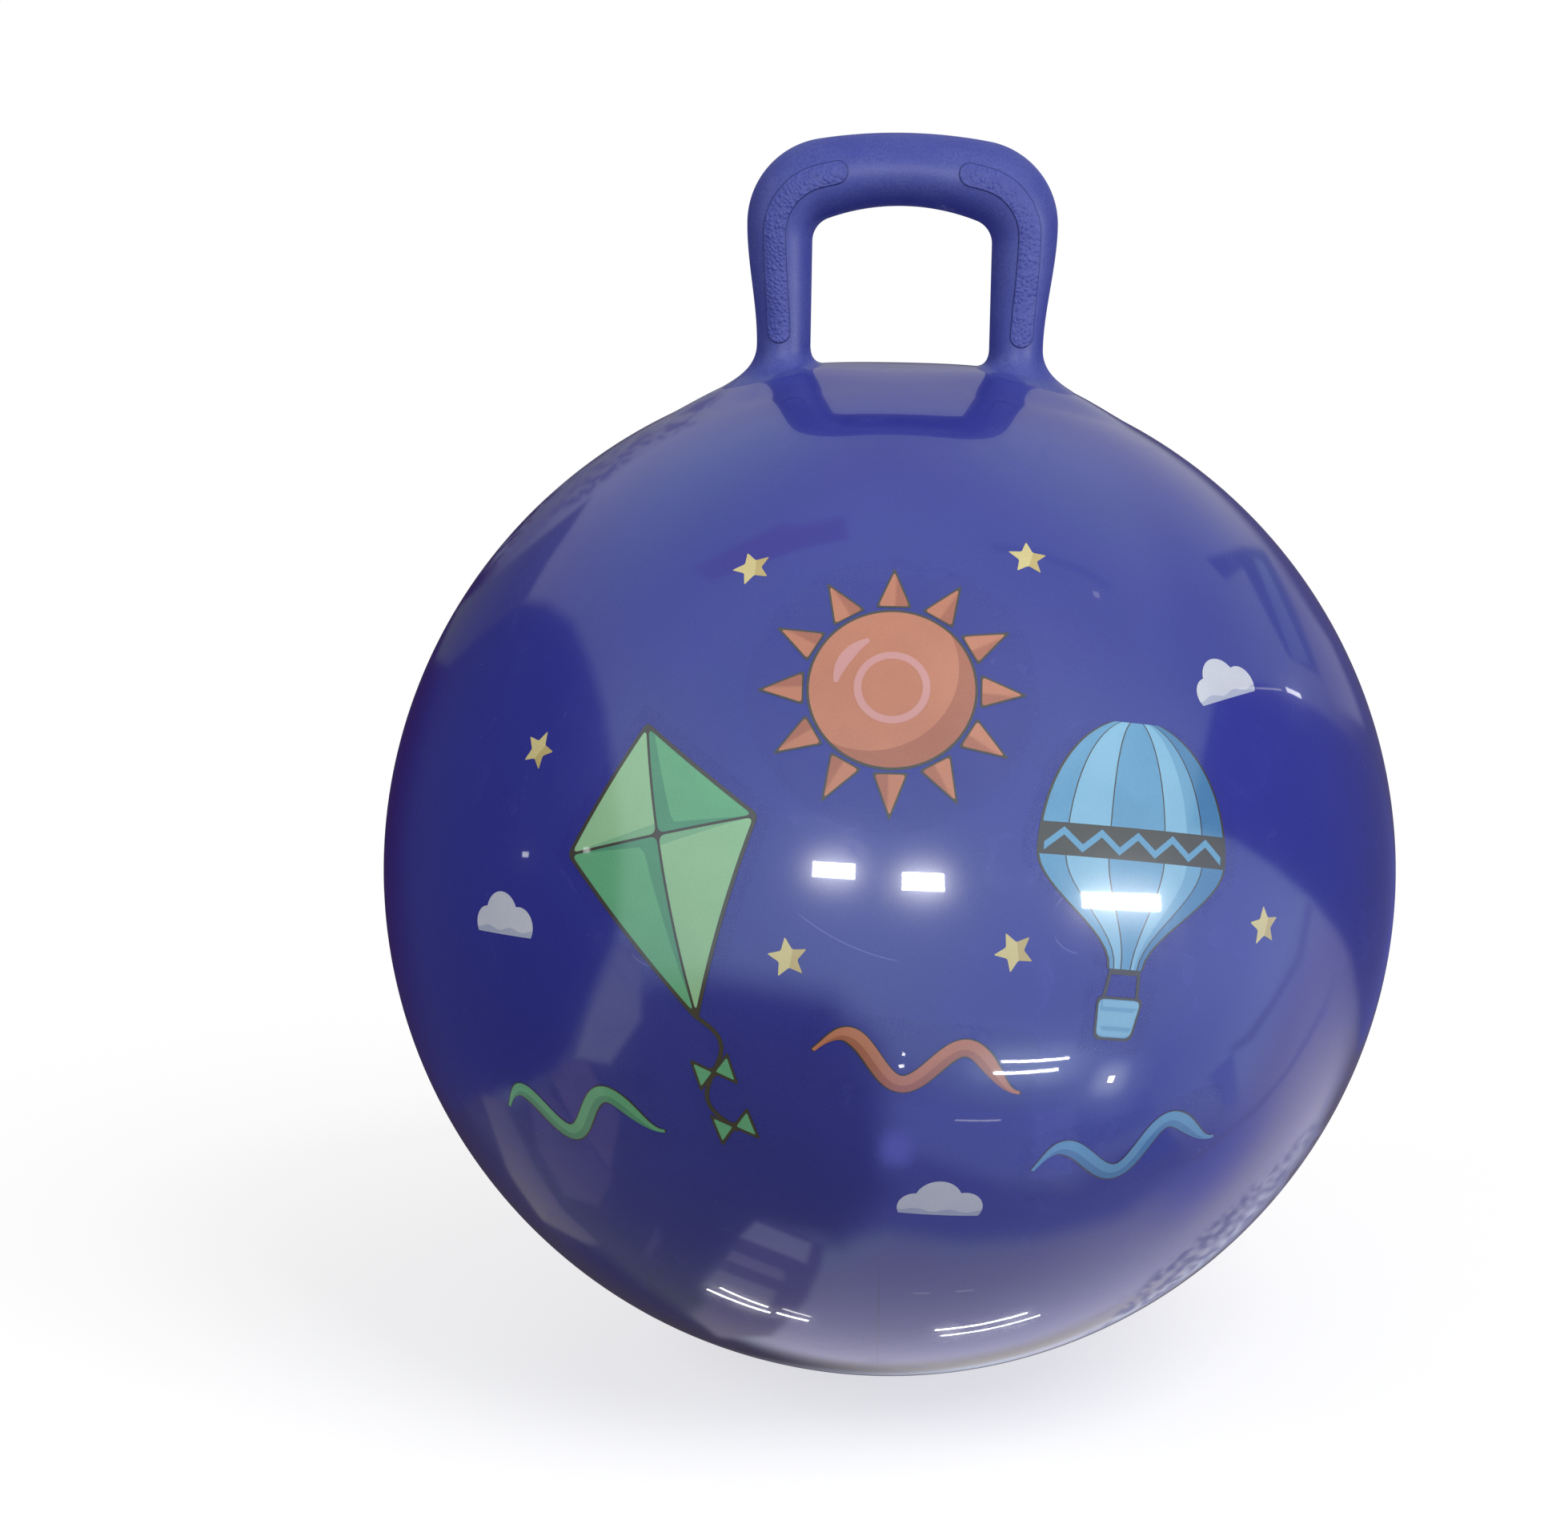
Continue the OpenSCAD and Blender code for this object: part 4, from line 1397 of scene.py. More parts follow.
def ribbon(length: float, swing: float, waves: float, width: float, taper: float) -> Outline:
    """Make a ribbon along a wave.

    Args:
        length: The ribbon's length.
        swing: How far it swings to each side.
        waves: How many waves it has.
        width: Its width at the middle.
        taper: The share of its length over which an end narrows, or 0 for straight ends.

    Returns:
        The outline.
    """
    k = np.linspace(0, 1, 97)
    line = np.stack([length * (k - 0.5), swing * np.sin(2 * math.pi * waves * k)], axis=1)
    near = smooth(np.minimum(k, 1 - k) / taper) if taper else np.ones_like(k)
    half = width / 2 * (0.2 + 0.8 * near)
    way = np.gradient(line, axis=0)
    way /= np.linalg.norm(way, axis=1)[:, None]
    side = np.stack([-way[:, 1], way[:, 0]], axis=1) * half[:, None]
    return np.concatenate([line - side, (line + side)[::-1]])


def disc(r: float, middle: Pair = (0, 0), steps: int = 96) -> Outline:
    """Make a round outline."""
    t = np.arange(steps) * 2 * math.pi / steps
    return np.stack([middle[0] + r * np.cos(t), middle[1] + r * np.sin(t)], axis=1)


def box(x0: float, y0: float, x1: float, y1: float) -> Outline:
    """Make a rectangular outline."""
    return np.array([(x0, y0), (x1, y0), (x1, y1), (x0, y1)], float)


def moved(points: Outline, by: Sequence[float], turn: float = 0.0) -> Outline:
    """Turn an outline by an angle in degrees and then move it."""
    c, s = math.cos(math.radians(turn)), math.sin(math.radians(turn))
    return points @ np.array(((c, s), (-s, c))) + np.array(by)


def holds(outline: Outline, points: Outline) -> np.ndarray:
    """Tell which points lie inside an outline.

    Args:
        outline: The closed outline.
        points: The points to test.

    Returns:
        One truth value for each point.
    """
    inside = np.zeros(len(points), bool)
    x, y = points[:, 0], points[:, 1]
    for (x0, y0), (x1, y1) in zip(outline, np.roll(outline, -1, axis=0)):
        if y0 == y1:
            continue
        crosses = (y0 > y) != (y1 > y)
        inside ^= crosses & (x < (x1 - x0) * (y - y0) / (y1 - y0) + x0)
    return inside


def dense(outline: Outline, step: float) -> Outline:
    """Put points on an outline's long edges, so that it can follow the ball's curve.

    Args:
        outline: The closed outline.
        step: The longest edge to leave.

    Returns:
        The denser outline.
    """
    points = []
    for a, b in zip(outline, np.roll(outline, -1, axis=0)):
        count = max(1, math.ceil(float(np.linalg.norm(b - a)) / step))
        points += [a + (b - a) * k / count for k in range(count)]
    return np.array(points)


@dataclass
class Stamp:
    """Flat shapes in millimetres, with holes, that are laid on the ball at one place."""

    place: Place
    fills: list[Outline]
    holes: list[Outline] = field(default_factory=list)
    shade: Callable[[Outline], np.ndarray] | None = None

    def covers(self, points: Outline) -> np.ndarray:
        """Tell which points the shapes cover.

        Args:
            points: Flat points in millimetres.

        Returns:
            One truth value for each point.
        """
        inside = np.any([holds(f, points) for f in self.fills], axis=0)
        if self.holes:
            inside &= ~np.any([holds(h, points) for h in self.holes], axis=0)
        return inside


class Ink(Enum):
    """The record's ink slots, each with its colour and its darker tone."""

    DARK = ("dark_ink", "#4a453a", "#3c372f")
    GREEN = ("green_ink", "#70bd8a", "#569c78")
    PALE_GREEN = ("pale_green_ink", "#a3d5a2", "#84bd90")
    ORANGE = ("orange_ink", "#cf8868", "#b06b52")
    PINK = ("pink_ink", "#dba09c", "#cf948f")
    BLUE = ("blue_ink", "#6fadd6", "#5088b8")
    PALE_BLUE = ("pale_blue_ink", "#93cbeb", "#74afd6")
    YELLOW = ("yellow_ink", "#e6d998", "#cdb877")
    WHITE = ("white_ink", "#dfe3ee", "#b7bfd8")


# How far outside any darker tone a shape without one lies, in millimetres
UNSHADED = -9.0


@dataclass
class Press:
    """Lays flat shapes on the ball as thin closed layers that follow its curve."""

    form: BallForm
    grid: float = 2.5
    inks: dict[Ink, Material] = field(init=False)

    def __post_init__(self) -> None:
        """Mix the inks."""
        self.inks = {}
        for ink in Ink:
            slot, colour, shade = ink.value
            self.inks[ink] = TransferInk(slot.replace("_ink", "_transfer_ink"), colour, shade).material()

    def triangles(self, stamp: Stamp) -> tuple[Outline, Faces]:
        """Cut a stamp's shapes into triangles small enough to follow the ball.

        Args:
            stamp: The shapes.

        Returns:
            The flat points and the triangles.
        """
        points: list[Pair] = []
        edges: list[tuple[int, int]] = []
        for sparse in stamp.fills + stamp.holes:
            outline = dense(sparse, self.grid)
            start, count = len(points), len(outline)
            points += [tuple(p) for p in outline]
            edges += [(start + k, start + (k + 1) % count) for k in range(count)]
        rim = np.array(points)
        low, high = rim.min(axis=0), rim.max(axis=0)
        xs, ys = (np.arange(low[i] + self.grid / 2, high[i], self.grid) for i in (0, 1))
        inner = np.array([(x, y) for x in xs for y in ys])
        if len(inner):
            inner = inner[stamp.covers(inner)]
        if len(inner):
            gap = np.array([np.min(np.hypot(*(rim - p).T)) for p in inner])
            points += [tuple(p) for p in inner[gap > self.grid * 0.4]]
        cut = geometry.delaunay_2d_cdt([Vector(p) for p in points], edges, [], 0, 1e-4)
        flat = np.array([tuple(v) for v in cut[0]])
        faces = np.array([f for f in cut[2] if len(f) == 3])
        kept = faces[stamp.covers(flat[faces].mean(axis=1))]
        return flat, [tuple(int(k) for k in f) for f in kept]

    def shell(self, stamp: Stamp, layer: Layer, start: int) -> tuple[list, list, Faces, list[float]]:
        """Make a stamp into a thin closed layer.

        Args:
            stamp: The shapes.
            layer: The layer's height and thickness.
            start: The number of its first point in the mesh.

        Returns:
            The points, their normals, the faces, and how far each point lies in the darker tone,
            in millimetres.
        """
        flat, kept = self.triangles(stamp)
        used = sorted({k for f in kept for k in f})
        number = {k: i for i, k in enumerate(used)}
        low, thickness = layer.value
        right, up, roll = stamp.place
        turn = self.form.facing(self.form.turn(right), self.form.turn(up), math.radians(roll))
        count = len(used)
        shades = list(stamp.shade(flat[used]) if stamp.shade else np.full(count, UNSHADED)) * 2
        points, normals, faces = [], [], []
        for height, way in ((low + thickness, 1), (low, -1)):
            r = self.form.radius + height * MM
            for k in used:
                u, v = flat[k] * MM
                arm = turn @ Vector((u, v, math.sqrt(r * r - u * u - v * v)))
                points.append(tuple(self.form.centre + arm))
                normals.append(tuple(way * arm.normalized()))
        borders = {}
        for f in kept:
            a, b, c = (start + number[k] for k in f)
            if self.clockwise(flat[list(f)]):
                a, b = b, a
            faces += [(a, b, c), (count + c, count + b, count + a)]
            borders |= {(a, b): None, (b, c): None, (c, a): None}
        faces += [(b, a, count + a, count + b) for a, b in borders if (b, a) not in borders]
        return points, normals, faces, shades

    @staticmethod
    def clockwise(corners: Outline) -> bool:
        """Tell whether a flat triangle's corners run clockwise."""
        (ax, ay), (bx, by), (cx, cy) = corners
        return bool((bx - ax) * (cy - ay) - (by - ay) * (cx - ax) < 0)

    def lay(
        self, name: str, layer: Layer, material: Material, slot: str, node: str, stamps: Sequence[Stamp]
    ) -> None:
        """Lay stamps on the ball as one piece.

        Args:
            name: The piece's name.
            layer: The print layer.
            material: The ink or film.
            slot: The record's material slot.
            node: The CAD node that the piece stands for.
            stamps: The shapes and their places.
        """
        points, normals, faces, shades = whole = [], [], [], []
        for stamp in stamps:
            for total, part in zip(whole, self.shell(stamp, layer, len(points))):
                total += part
        piece = make_piece(name, points, faces, material, slot, node, share=("shade", shades))
        piece.data.normals_split_custom_set_from_vertices(normals)

    def ink(
        self, name: str, ink: Ink, node: str, stamps: Sequence[Stamp], layer: Layer = Layer.COLOUR
    ) -> None:
        """Print stamps in an ink.

        Args:
            name: The piece's name.
            ink: The ink.
            node: The CAD node that the piece stands for.
            stamps: The shapes and their places.
            layer: The print layer.
        """
        self.lay(name, layer, self.inks[ink], ink.value[0], node, stamps)


@dataclass(frozen=True)
class Breeze:
    """The wavy ribbon of wind below each picture."""

    length: float = 84
    swing: float = 9
    waves: float = 1.75
    width: float = 7
    taper: float = 0.2

    def shape(self, extra: float = 0.0) -> Outline:
        """Give the ribbon, wider by extra all round."""
        return ribbon(self.length + 2 * extra, self.swing, self.waves, self.width + 2 * extra, self.taper)

    def underside(self, points: Outline) -> np.ndarray:
        """Tell how far points lie in the ribbon's darker lower tone, in millimetres.

        Args:
            points: Flat points in millimetres.

        Returns:
            The distances.
        """
        middle = self.swing * np.sin(2 * math.pi * self.waves * (points[:, 0] / self.length + 0.5))
        return middle - points[:, 1] - self.width * 0.1

    def plate(self, margin: float) -> Outline:
        """Give the film behind the ribbon."""
        x, y = self.length / 2 + margin, self.swing + self.width / 2 + margin
        return rounded(box(-x, -y, x, y), 12)


@dataclass
class Picture:
    """What the three pictures share: their outline, their film and their breeze."""

    press: Press
    name: str = ""
    place: Place = (0, 0, 0)
    breeze_place: Place = (0, 0, 0)
    outline: float = 1.1
    margin: float = 5.7
    breeze: Breeze = field(default_factory=Breeze)

    @property
    def edge(self) -> float:
        """How far the film reaches past a shape."""
        return self.outline + self.margin

    def stamp(self, *fills: Outline, **more: object) -> Stamp:
        """Put shapes at the picture's place."""
        return Stamp(self.place, list(fills), **more)

    def film(self, *fills: Outline) -> None:
        """Lay the clear film behind the picture and its breeze.

        Args:
            *fills: The film's shapes behind the picture.
        """
        node = self.name + "_film"
        stamps = [self.stamp(*fills), Stamp(self.breeze_place, [self.breeze.plate(self.margin)])]
        clear = ClearFilm("clear_film_" + node).material()
        self.press.lay(self.name + "_clear_film", Layer.FILM, clear, "clear_film", node, stamps)

    def dark(self, *fills: Outline) -> None:
        """Print the dark outline behind the picture and its breeze.

        Args:
            *fills: The picture's dark shapes.
        """
        stamps = [self.stamp(*fills), Stamp(self.breeze_place, [self.breeze.shape(self.outline / 2)])]
        self.press.ink(self.name + "_outline_print", Ink.DARK, self.name + "_dark_ink", stamps, Layer.DARK)

    def main_colour(self, ink: Ink, *stamps: Stamp, word: str = "") -> None:
        """Print the main colour of the picture and its breeze.

        Args:
            ink: The main ink.
            *stamps: The picture's shapes.
            word: What the piece is called after, where it isn't the ink.
        """
        breeze = Stamp(self.breeze_place, [self.breeze.shape()], shade=self.breeze.underside)
        name = f"{self.name}_{word or ink.name.lower()}_print"
        self.press.ink(name, ink, f"{self.name}_{ink.value[0]}", [*stamps, breeze])


@dataclass
class Kite(Picture):
    """A green kite with two spars, a tail and two bows."""

    name: str = "kite"
    width: float = 84
    height: float = 118
    spar: float = 1.1
    top_share: float = 0.38
    tail: float = 44
    tail_swing: float = 7
    bow: Pair = (15, 9)
    bow_shares: Pair = (0.5, 1.0)
    knot: float = 0.9
    place: Place = (-98, 56, 17)
    breeze_place: Place = (-140, -68, 10)

    def corners(self) -> Outline:
        """Give the top, right, bottom and left corners."""
        w, h, t = self.width, self.height, self.top_share
        return np.array([(0, t * h), (0.5 * w, 0), (0, (t - 1) * h), (-0.5 * w, 0)])

    def whole(self, extra: float) -> Outline:
        """Give the kite's outline, grown by extra."""
        return rounded(grown(self.corners()[::-1], extra), 3)

    def tail_point(self, share: float) -> Pair:
        """Give a point of the tail."""
        low = float(self.corners()[2][1])
        return (self.tail_swing * math.sin(2 * math.pi * share), low - self.tail * share)

    def panels(self, first: int) -> list[Outline]:
        """Give two facing panels, drawn in from the spars.

        Args:
            first: The number of the first panel's corner.

        Returns:
            The two outlines.
        """
        c = self.corners()
        sides = [np.array([(0, 0), c[(k + 1) % 4], c[k]]) for k in (first, first + 2)]
        return [rounded(grown(side, -self.spar / 2), 3) for side in sides]

    def fold(self, points: Outline) -> np.ndarray:
        """Tell how far points lie in the darker tone beside the spars, in millimetres.

        Args:
            points: Flat points in millimetres.

        Returns:
            The distances.
        """
        x, y = points[:, 0], points[:, 1]
        beside = 7.5 * (1 - np.abs(y) / (0.6 * self.height)) - np.abs(x)
        above = 4.5 * (1 - np.abs(x) / (0.5 * self.width)) - np.abs(y)
        return np.where(x * y > 0, np.maximum(beside, above), above)

    def bows(self) -> list[Outline]:
        """Give the two halves of each bow."""
        half = rounded(self.half_bow(), 0.9)
        return [moved(half * (side, 1), self.tail_point(s)) for s in self.bow_shares for side in (1, -1)]

    def half_bow(self) -> Outline:
        """Give the right half of a bow, from the knot out."""
        x, y = self.bow[0] / 2, self.bow[1] / 2
        return np.array([(self.knot, 0), (x, -y), (x, y)])

    def bow_rims(self) -> list[Outline]:
        """Give the outlines behind the bows, with a knot in the middle of each.

        Returns:
            The outlines.
        """
        half = rounded(grown(self.half_bow(), self.outline), 1.4)
        knot = disc(self.knot + 1, steps=24)
        shapes = []
        for here in map(self.tail_point, self.bow_shares):
            shapes += [moved(half, here), moved(half, here, 180), moved(knot, here)]
        return shapes

    def bow_plates(self, extra: float) -> list[Outline]:
        """Give a plate behind each bow."""
        x, y = self.bow[0] / 2 + extra, self.bow[1] / 2 + extra
        return [moved(rounded(box(-x, -y, x, y), 3), self.tail_point(s)) for s in self.bow_shares]

    def build(self) -> None:
        """Print the kite and its breeze."""
        low = float(self.corners()[2][1])
        strip = box(-self.tail_swing, low - self.tail, self.tail_swing, low)
        self.film(self.whole(self.edge), strip, *self.bow_plates(self.edge))
        tail = moved(ribbon(self.tail, self.tail_swing, 1, 1.8, 0), (0, low - self.tail / 2), -90)
        self.dark(self.whole(self.outline), tail, *self.bow_rims())
        main = self.stamp(*self.panels(0), shade=self.fold)
        self.main_colour(Ink.GREEN, main, self.stamp(*self.bows()))
        pale = self.stamp(*self.panels(1), shade=self.fold)
        self.press.ink("kite_pale_print", Ink.PALE_GREEN, "kite_pale_ink", [pale])


@dataclass
class Sun(Picture):
    """An apricot sun with rays, a ring in its disc and a bent highlight."""

    name: str = "sun"
    diameter: float = 66
    rays: int = 12
    ray: Pair = (13, 17)
    ray_gap: float = 2.5
    ring_share: float = 0.46
    ring: float = 3
    place: Place = (0, 122, 0)
    breeze_place: Place = (14, -30, -6)

    def ray_shapes(self, extra: float) -> list[Outline]:
        """Give the rays, grown by extra.

        Args:
            extra: How far it is grown, in millimetres.

        Returns:
            The outlines.
        """
        w, h = self.ray
        one = rounded(grown(np.array([(-w / 2, 0), (w / 2, 0), (0, h)]), extra), 1.5)
        one = moved(one, (0, self.diameter / 2 + self.ray_gap))
        return [moved(one, (0, 0), 360 * k / self.rays) for k in range(self.rays)]

    def crescent(self, points: Outline) -> np.ndarray:
        """Tell how far points lie in the disc's darker lower right rim or a ray's darker side.

        Args:
            points: Flat points in millimetres.

        Returns:
            The distances in millimetres.
        """
        shift = 0.13 * self.diameter
        rim = np.hypot(points[:, 0] + shift, points[:, 1] - shift) - 0.53 * self.diameter
        out = np.hypot(points[:, 0], points[:, 1])
        turn = np.arctan2(points[:, 1], points[:, 0])
        side = (turn * self.rays / (2 * math.pi) - 0.5 * (self.rays / 2) % 1 + 0.5) % 1 - 0.5
        return np.where(out > self.diameter / 2 + 1, -side * 6 - 0.2, rim)

    def highlight(self) -> Outline:
        """Give the bent bar in the upper left of the disc.

        Returns:
            The outline.
        """
        r, w = self.diameter / 2 * 0.68, self.diameter / 2 * 0.16
        k = np.linspace(0, 1, 33)
        half = w / 2 * (0.3 + 0.7 * np.sin(math.pi * k))
        t = np.radians(115 + 60 * k)
        way = np.stack([np.cos(t), np.sin(t)], axis=1)
        return np.concatenate([(r + half)[:, None] * way, ((r - half)[:, None] * way)[::-1]])

    def build(self) -> None:
        """Print the sun and its breeze."""
        r = self.diameter / 2
        self.film(disc(r + self.ray_gap + self.ray[1] + self.margin))
        self.dark(disc(r + self.outline), *self.ray_shapes(self.outline / 2))
        main = self.stamp(disc(r), *self.ray_shapes(-self.outline / 4), shade=self.crescent)
        self.main_colour(Ink.ORANGE, main, word="apricot")
        ring_radius = r * self.ring_share
        circle = self.stamp(disc(ring_radius), holes=[disc(ring_radius - self.ring)])
        stamps = [self.stamp(self.highlight()), circle]
        self.press.ink("sun_pink_print", Ink.PINK, "sun_pink_ink", stamps, Layer.TINT)


@dataclass
class Balloon(Picture):
    """A blue balloon with upright panels, a zigzag band and a basket."""

    name: str = "balloon"
    width: float = 84
    height: float = 100
    neck_share: float = 0.17
    belly_share: float = 0.44
    crown_share: float = 0.985
    band: Pair = (13, 12)
    basket: Place = (19, 15, 12)
    gores: tuple[Pair, ...] = ((-0.74, -0.3), (0.3, 0.74))
    zigzag_rise: float = 3.3
    zigzag_width: float = 3.2
    rope: float = 1.6
    place: Place = (106, 56, -9)
    breeze_place: Place = (110, -74, 10)

    def half(self, share: np.ndarray | float) -> np.ndarray:
        """Give half the balloon's width at a share of its height.

        Args:
            share: Shares of the height, from the neck up.

        Returns:
            Half of the width at each.
        """
        s = np.asarray(share, float)
        up = np.clip((s - self.belly_share) / (1 - self.belly_share), 0, 1)
        low = self.neck_share + (1 - self.neck_share) * smooth(s / self.belly_share)
        return self.width / 2 * np.where(s > self.belly_share, np.sqrt(1 - up**2), low)

    def gore(self, left: float, right: float, extra: float) -> Outline:
        """Give an upright strip of the balloon.

        Args:
            left: Its left edge as a share of the half width.
            right: Its right edge as a share of the half width.
            extra: How far it is grown sideways.

        Returns:
            The outline.
        """
        k = np.linspace(0, 1, 41)
        h = self.crown_share * (1 - (1 - k) ** 1.6)
        y = -self.height / 2 + self.height * h
        a = np.stack([right * self.half(h) + extra, y], axis=1)
        b = np.stack([left * self.half(h) - extra, y], axis=1)
        return np.concatenate([a, b[::-1]])

    def far_side(self, points: Outline) -> np.ndarray:
        """Tell how far points lie in the darker tone at the right, in millimetres."""
        half = self.half((points[:, 1] + self.height / 2) / self.height)
        return points[:, 0] - 0.56 * half

    def weave(self, points: Outline) -> np.ndarray:
        """Tell how far points lie in the darker strands of the basket, in millimetres."""
        return 1.2 * np.sin(points[:, 1] * 1.7) - 0.6

    def band_middle(self) -> float:
        """Give the height of the band's middle."""
        top = self.belly_share + self.band[1] / self.height
        return -self.height / 2 + self.height * top - self.band[0] / 2

    def band_shape(self) -> Outline:
        """Give the band across the balloon."""
        x, y = self.width / 2 + 2 * self.outline, self.band_middle()
        return box(-x, y - self.band[0] / 2, x, y + self.band[0] / 2)

    def zigzag(self) -> Outline:
        """Give the zigzag in the band.

        Returns:
            The outline.
        """
        low = self.belly_share + (self.band[1] - self.band[0]) / self.height
        reach, y = float(self.half(low)) * 0.96, self.band_middle()
        steps = [(k / 5 * reach, y + self.zigzag_rise * (-1) ** k) for k in range(-5, 6)]
        middle, half = np.array(steps), (0, self.zigzag_width / 2)
        return np.concatenate([middle - half, (middle + half)[::-1]])

    def basket_shape(self, extra: float) -> Outline:
        """Give the basket, grown by extra.

        Args:
            extra: How far it is grown, in millimetres.

        Returns:
            The outline.
        """
        w, h, drop = self.basket
        low, top = w * 0.4 + extra, w / 2 + extra
        y = -self.height / 2 - drop - h / 2
        reach = h / 2 + extra
        corners = [(-low, -reach), (low, -reach), (top, reach), (-top, reach)]
        return moved(rounded(np.array(corners), 3), (0, y))

    def ropes(self) -> list[Outline]:
        """Give the two ropes.

        Returns:
            The outlines.
        """
        neck, half = -self.height / 2, self.rope / 2
        low, top = self.basket[0] * 0.4, self.width * self.neck_share / 2 - half
        y = neck - self.basket[2]
        ends = [(side * low, side * top) for side in (-1, 1)]
        return [np.array([(a - half, y), (a + half, y), (b + half, neck), (b - half, neck)]) for a, b in ends]

    def build(self) -> None:
        """Print the balloon and its breeze.

        The pale panels and the band are holes in the blue, so that no ink lies on another.
        """
        neck, (w, _, drop) = -self.height / 2, self.basket
        bridge = box(-w / 2, neck - drop - self.margin / 2, w / 2, neck + self.margin / 2)
        self.film(self.gore(-1, 1, self.edge), self.basket_shape(self.edge), bridge)
        x, rim = self.neck_share * self.width / 2, self.basket_shape(self.outline)
        collar = box(-x, neck - 2 * self.outline, x, neck)
        self.dark(self.gore(-1, 1, self.outline), collar, *self.ropes(), rim)
        band, quarter = self.band_shape(), self.outline / 4
        holes = [band, *(self.gore(a, b, quarter) for a, b in self.gores)]
        main = self.stamp(self.gore(-1, 1, 0), holes=holes, shade=self.far_side)
        self.main_colour(Ink.BLUE, main, self.stamp(self.zigzag()))
        panels = [self.gore(a, b, -quarter) for a, b in self.gores]
        pale = self.stamp(*panels, holes=[band], shade=self.far_side)
        basket = self.stamp(self.basket_shape(0), shade=self.weave)
        self.press.ink("balloon_pale_print", Ink.PALE_BLUE, "balloon_pale_ink", [pale, basket])


@dataclass
class SmallPrints:
    """The stars and clouds between the pictures, printed straight on the ball."""

    press: Press
    star: float = 17
    cloud: float = 36
    stars: tuple[Place, ...] = (
        (-39, 12, 10),
        (-169, 82, -15),
        (51, 16, 25),
        (169, 16, 0),
        (-82, 173, 30),
        (79, 181, -10),
    )
    clouds: tuple[Place, ...] = ((173, 114, 5), (27, -98, -4), (-173, 8, 4))
    # Each puff's middle and radius as shares of the cloud's width
    puffs: tuple[Place, ...] = ((-0.3, 0, 0.2), (-0.05, 0.12, 0.27), (0.25, 0.02, 0.22))

    def star_shape(self) -> Outline:
        """Give a star with soft points.

        Returns:
            The outline.
        """
        k = np.arange(10)
        r = np.where(k % 2 == 0, self.star / 2, self.star / 2 * 0.46)
        t = math.pi / 2 + math.pi * k / 5
        return rounded(np.stack([r * np.cos(t), r * np.sin(t)], axis=1), 0.9)

    def cloud_stamp(self, place: Place) -> Stamp:
        """Give a cloud of three puffs with a flat base.

        Args:
            place: Where it is laid.

        Returns:
            The stamp.
        """
        w = self.cloud
        puffs = [disc(r * w, (x * w, y * w), 64) for x, y, r in self.puffs]
        return Stamp(place, puffs, [box(-w, -w - 0.1 * w, w, -0.1 * w)], self.belly)

    def corner(self, points: Outline) -> np.ndarray:
        """Tell how far points lie in a star's darker right side, in millimetres."""
        return points[:, 0] - 0.35 * points[:, 1] - 1.5

    def belly(self, points: Outline) -> np.ndarray:
        """Tell how far points lie in a cloud's darker belly, in millimetres."""
        return -1.2 - points[:, 1] + 0.8 * np.sin(points[:, 0] * 0.45)

    def build(self) -> None:
        """Print the stars and the clouds."""
        stars = [Stamp(place, [self.star_shape()], shade=self.corner) for place in self.stars]
        clouds = [self.cloud_stamp(place) for place in self.clouds]
        self.press.ink("star_prints", Ink.YELLOW, "star_yellow_ink", stars, Layer.STRAIGHT_ON)
        self.press.ink("cloud_prints", Ink.WHITE, "cloud_white_ink", clouds, Layer.STRAIGHT_ON)


# ---------------------------------------------------------------- the studio


def heading(turn: float, rise: float) -> Vector:
    """Give a direction from degrees to the right of the front and degrees above the level."""
    a, e = math.radians(turn), math.radians(rise)
    return Vector((math.sin(a) * math.cos(e), -math.cos(a) * math.cos(e), math.sin(e)))


# How square the round panels are: 2 is round
SQUARENESS = 2.6


@dataclass(frozen=True)
class RoundPanel:
    """A soft-edged round panel of the light tent: its place and size in degrees, and its light."""

    turn: float
    rise: float
    half_width: float
    half_height: float
    soft: float
    colour: Place

    def share(self, way: np.ndarray) -> np.ndarray:
        """Tell how far directions lie inside the panel.

        Args:
            way: Directions, one a row.

        Returns:
            1 inside, 0 outside.
        """
        out = np.array(heading(self.turn, self.rise))
        right = np.array((-out[1], out[0], 0.0)) / max(1e-6, float(np.hypot(out[0], out[1])))
        across = np.degrees(np.arctan2(way @ right, way @ out)) / self.half_width
        high = np.degrees(np.arcsin(np.clip(way @ np.cross(out, right), -1, 1))) / self.half_height
        reach = (np.abs(across) ** SQUARENESS + np.abs(high) ** SQUARENESS) ** (1 / SQUARENESS)
        return smooth(0.5 + (1 - reach) / (2 * self.soft))


# The camera's height over the front, in degrees
FRONT = 12.5
# The size of a speckled panel's grains, in degrees
SPECKLE = 1.7


def on_mirror(way: np.ndarray) -> Outline:
    """Lay directions on a flat map round the front, in degrees near its middle.

    Args:
        way: Directions, one a row.

    Returns:
        Their places on the map, where equal areas stay equal.
    """
    front, right = np.array(heading(0, FRONT)), np.array((1.0, 0, 0))
    stretch = np.degrees(np.sqrt(2 / np.maximum(1 + way @ front, 1e-6)))
    return np.stack([way @ right * stretch, way @ np.cross(front, right) * stretch], axis=1)


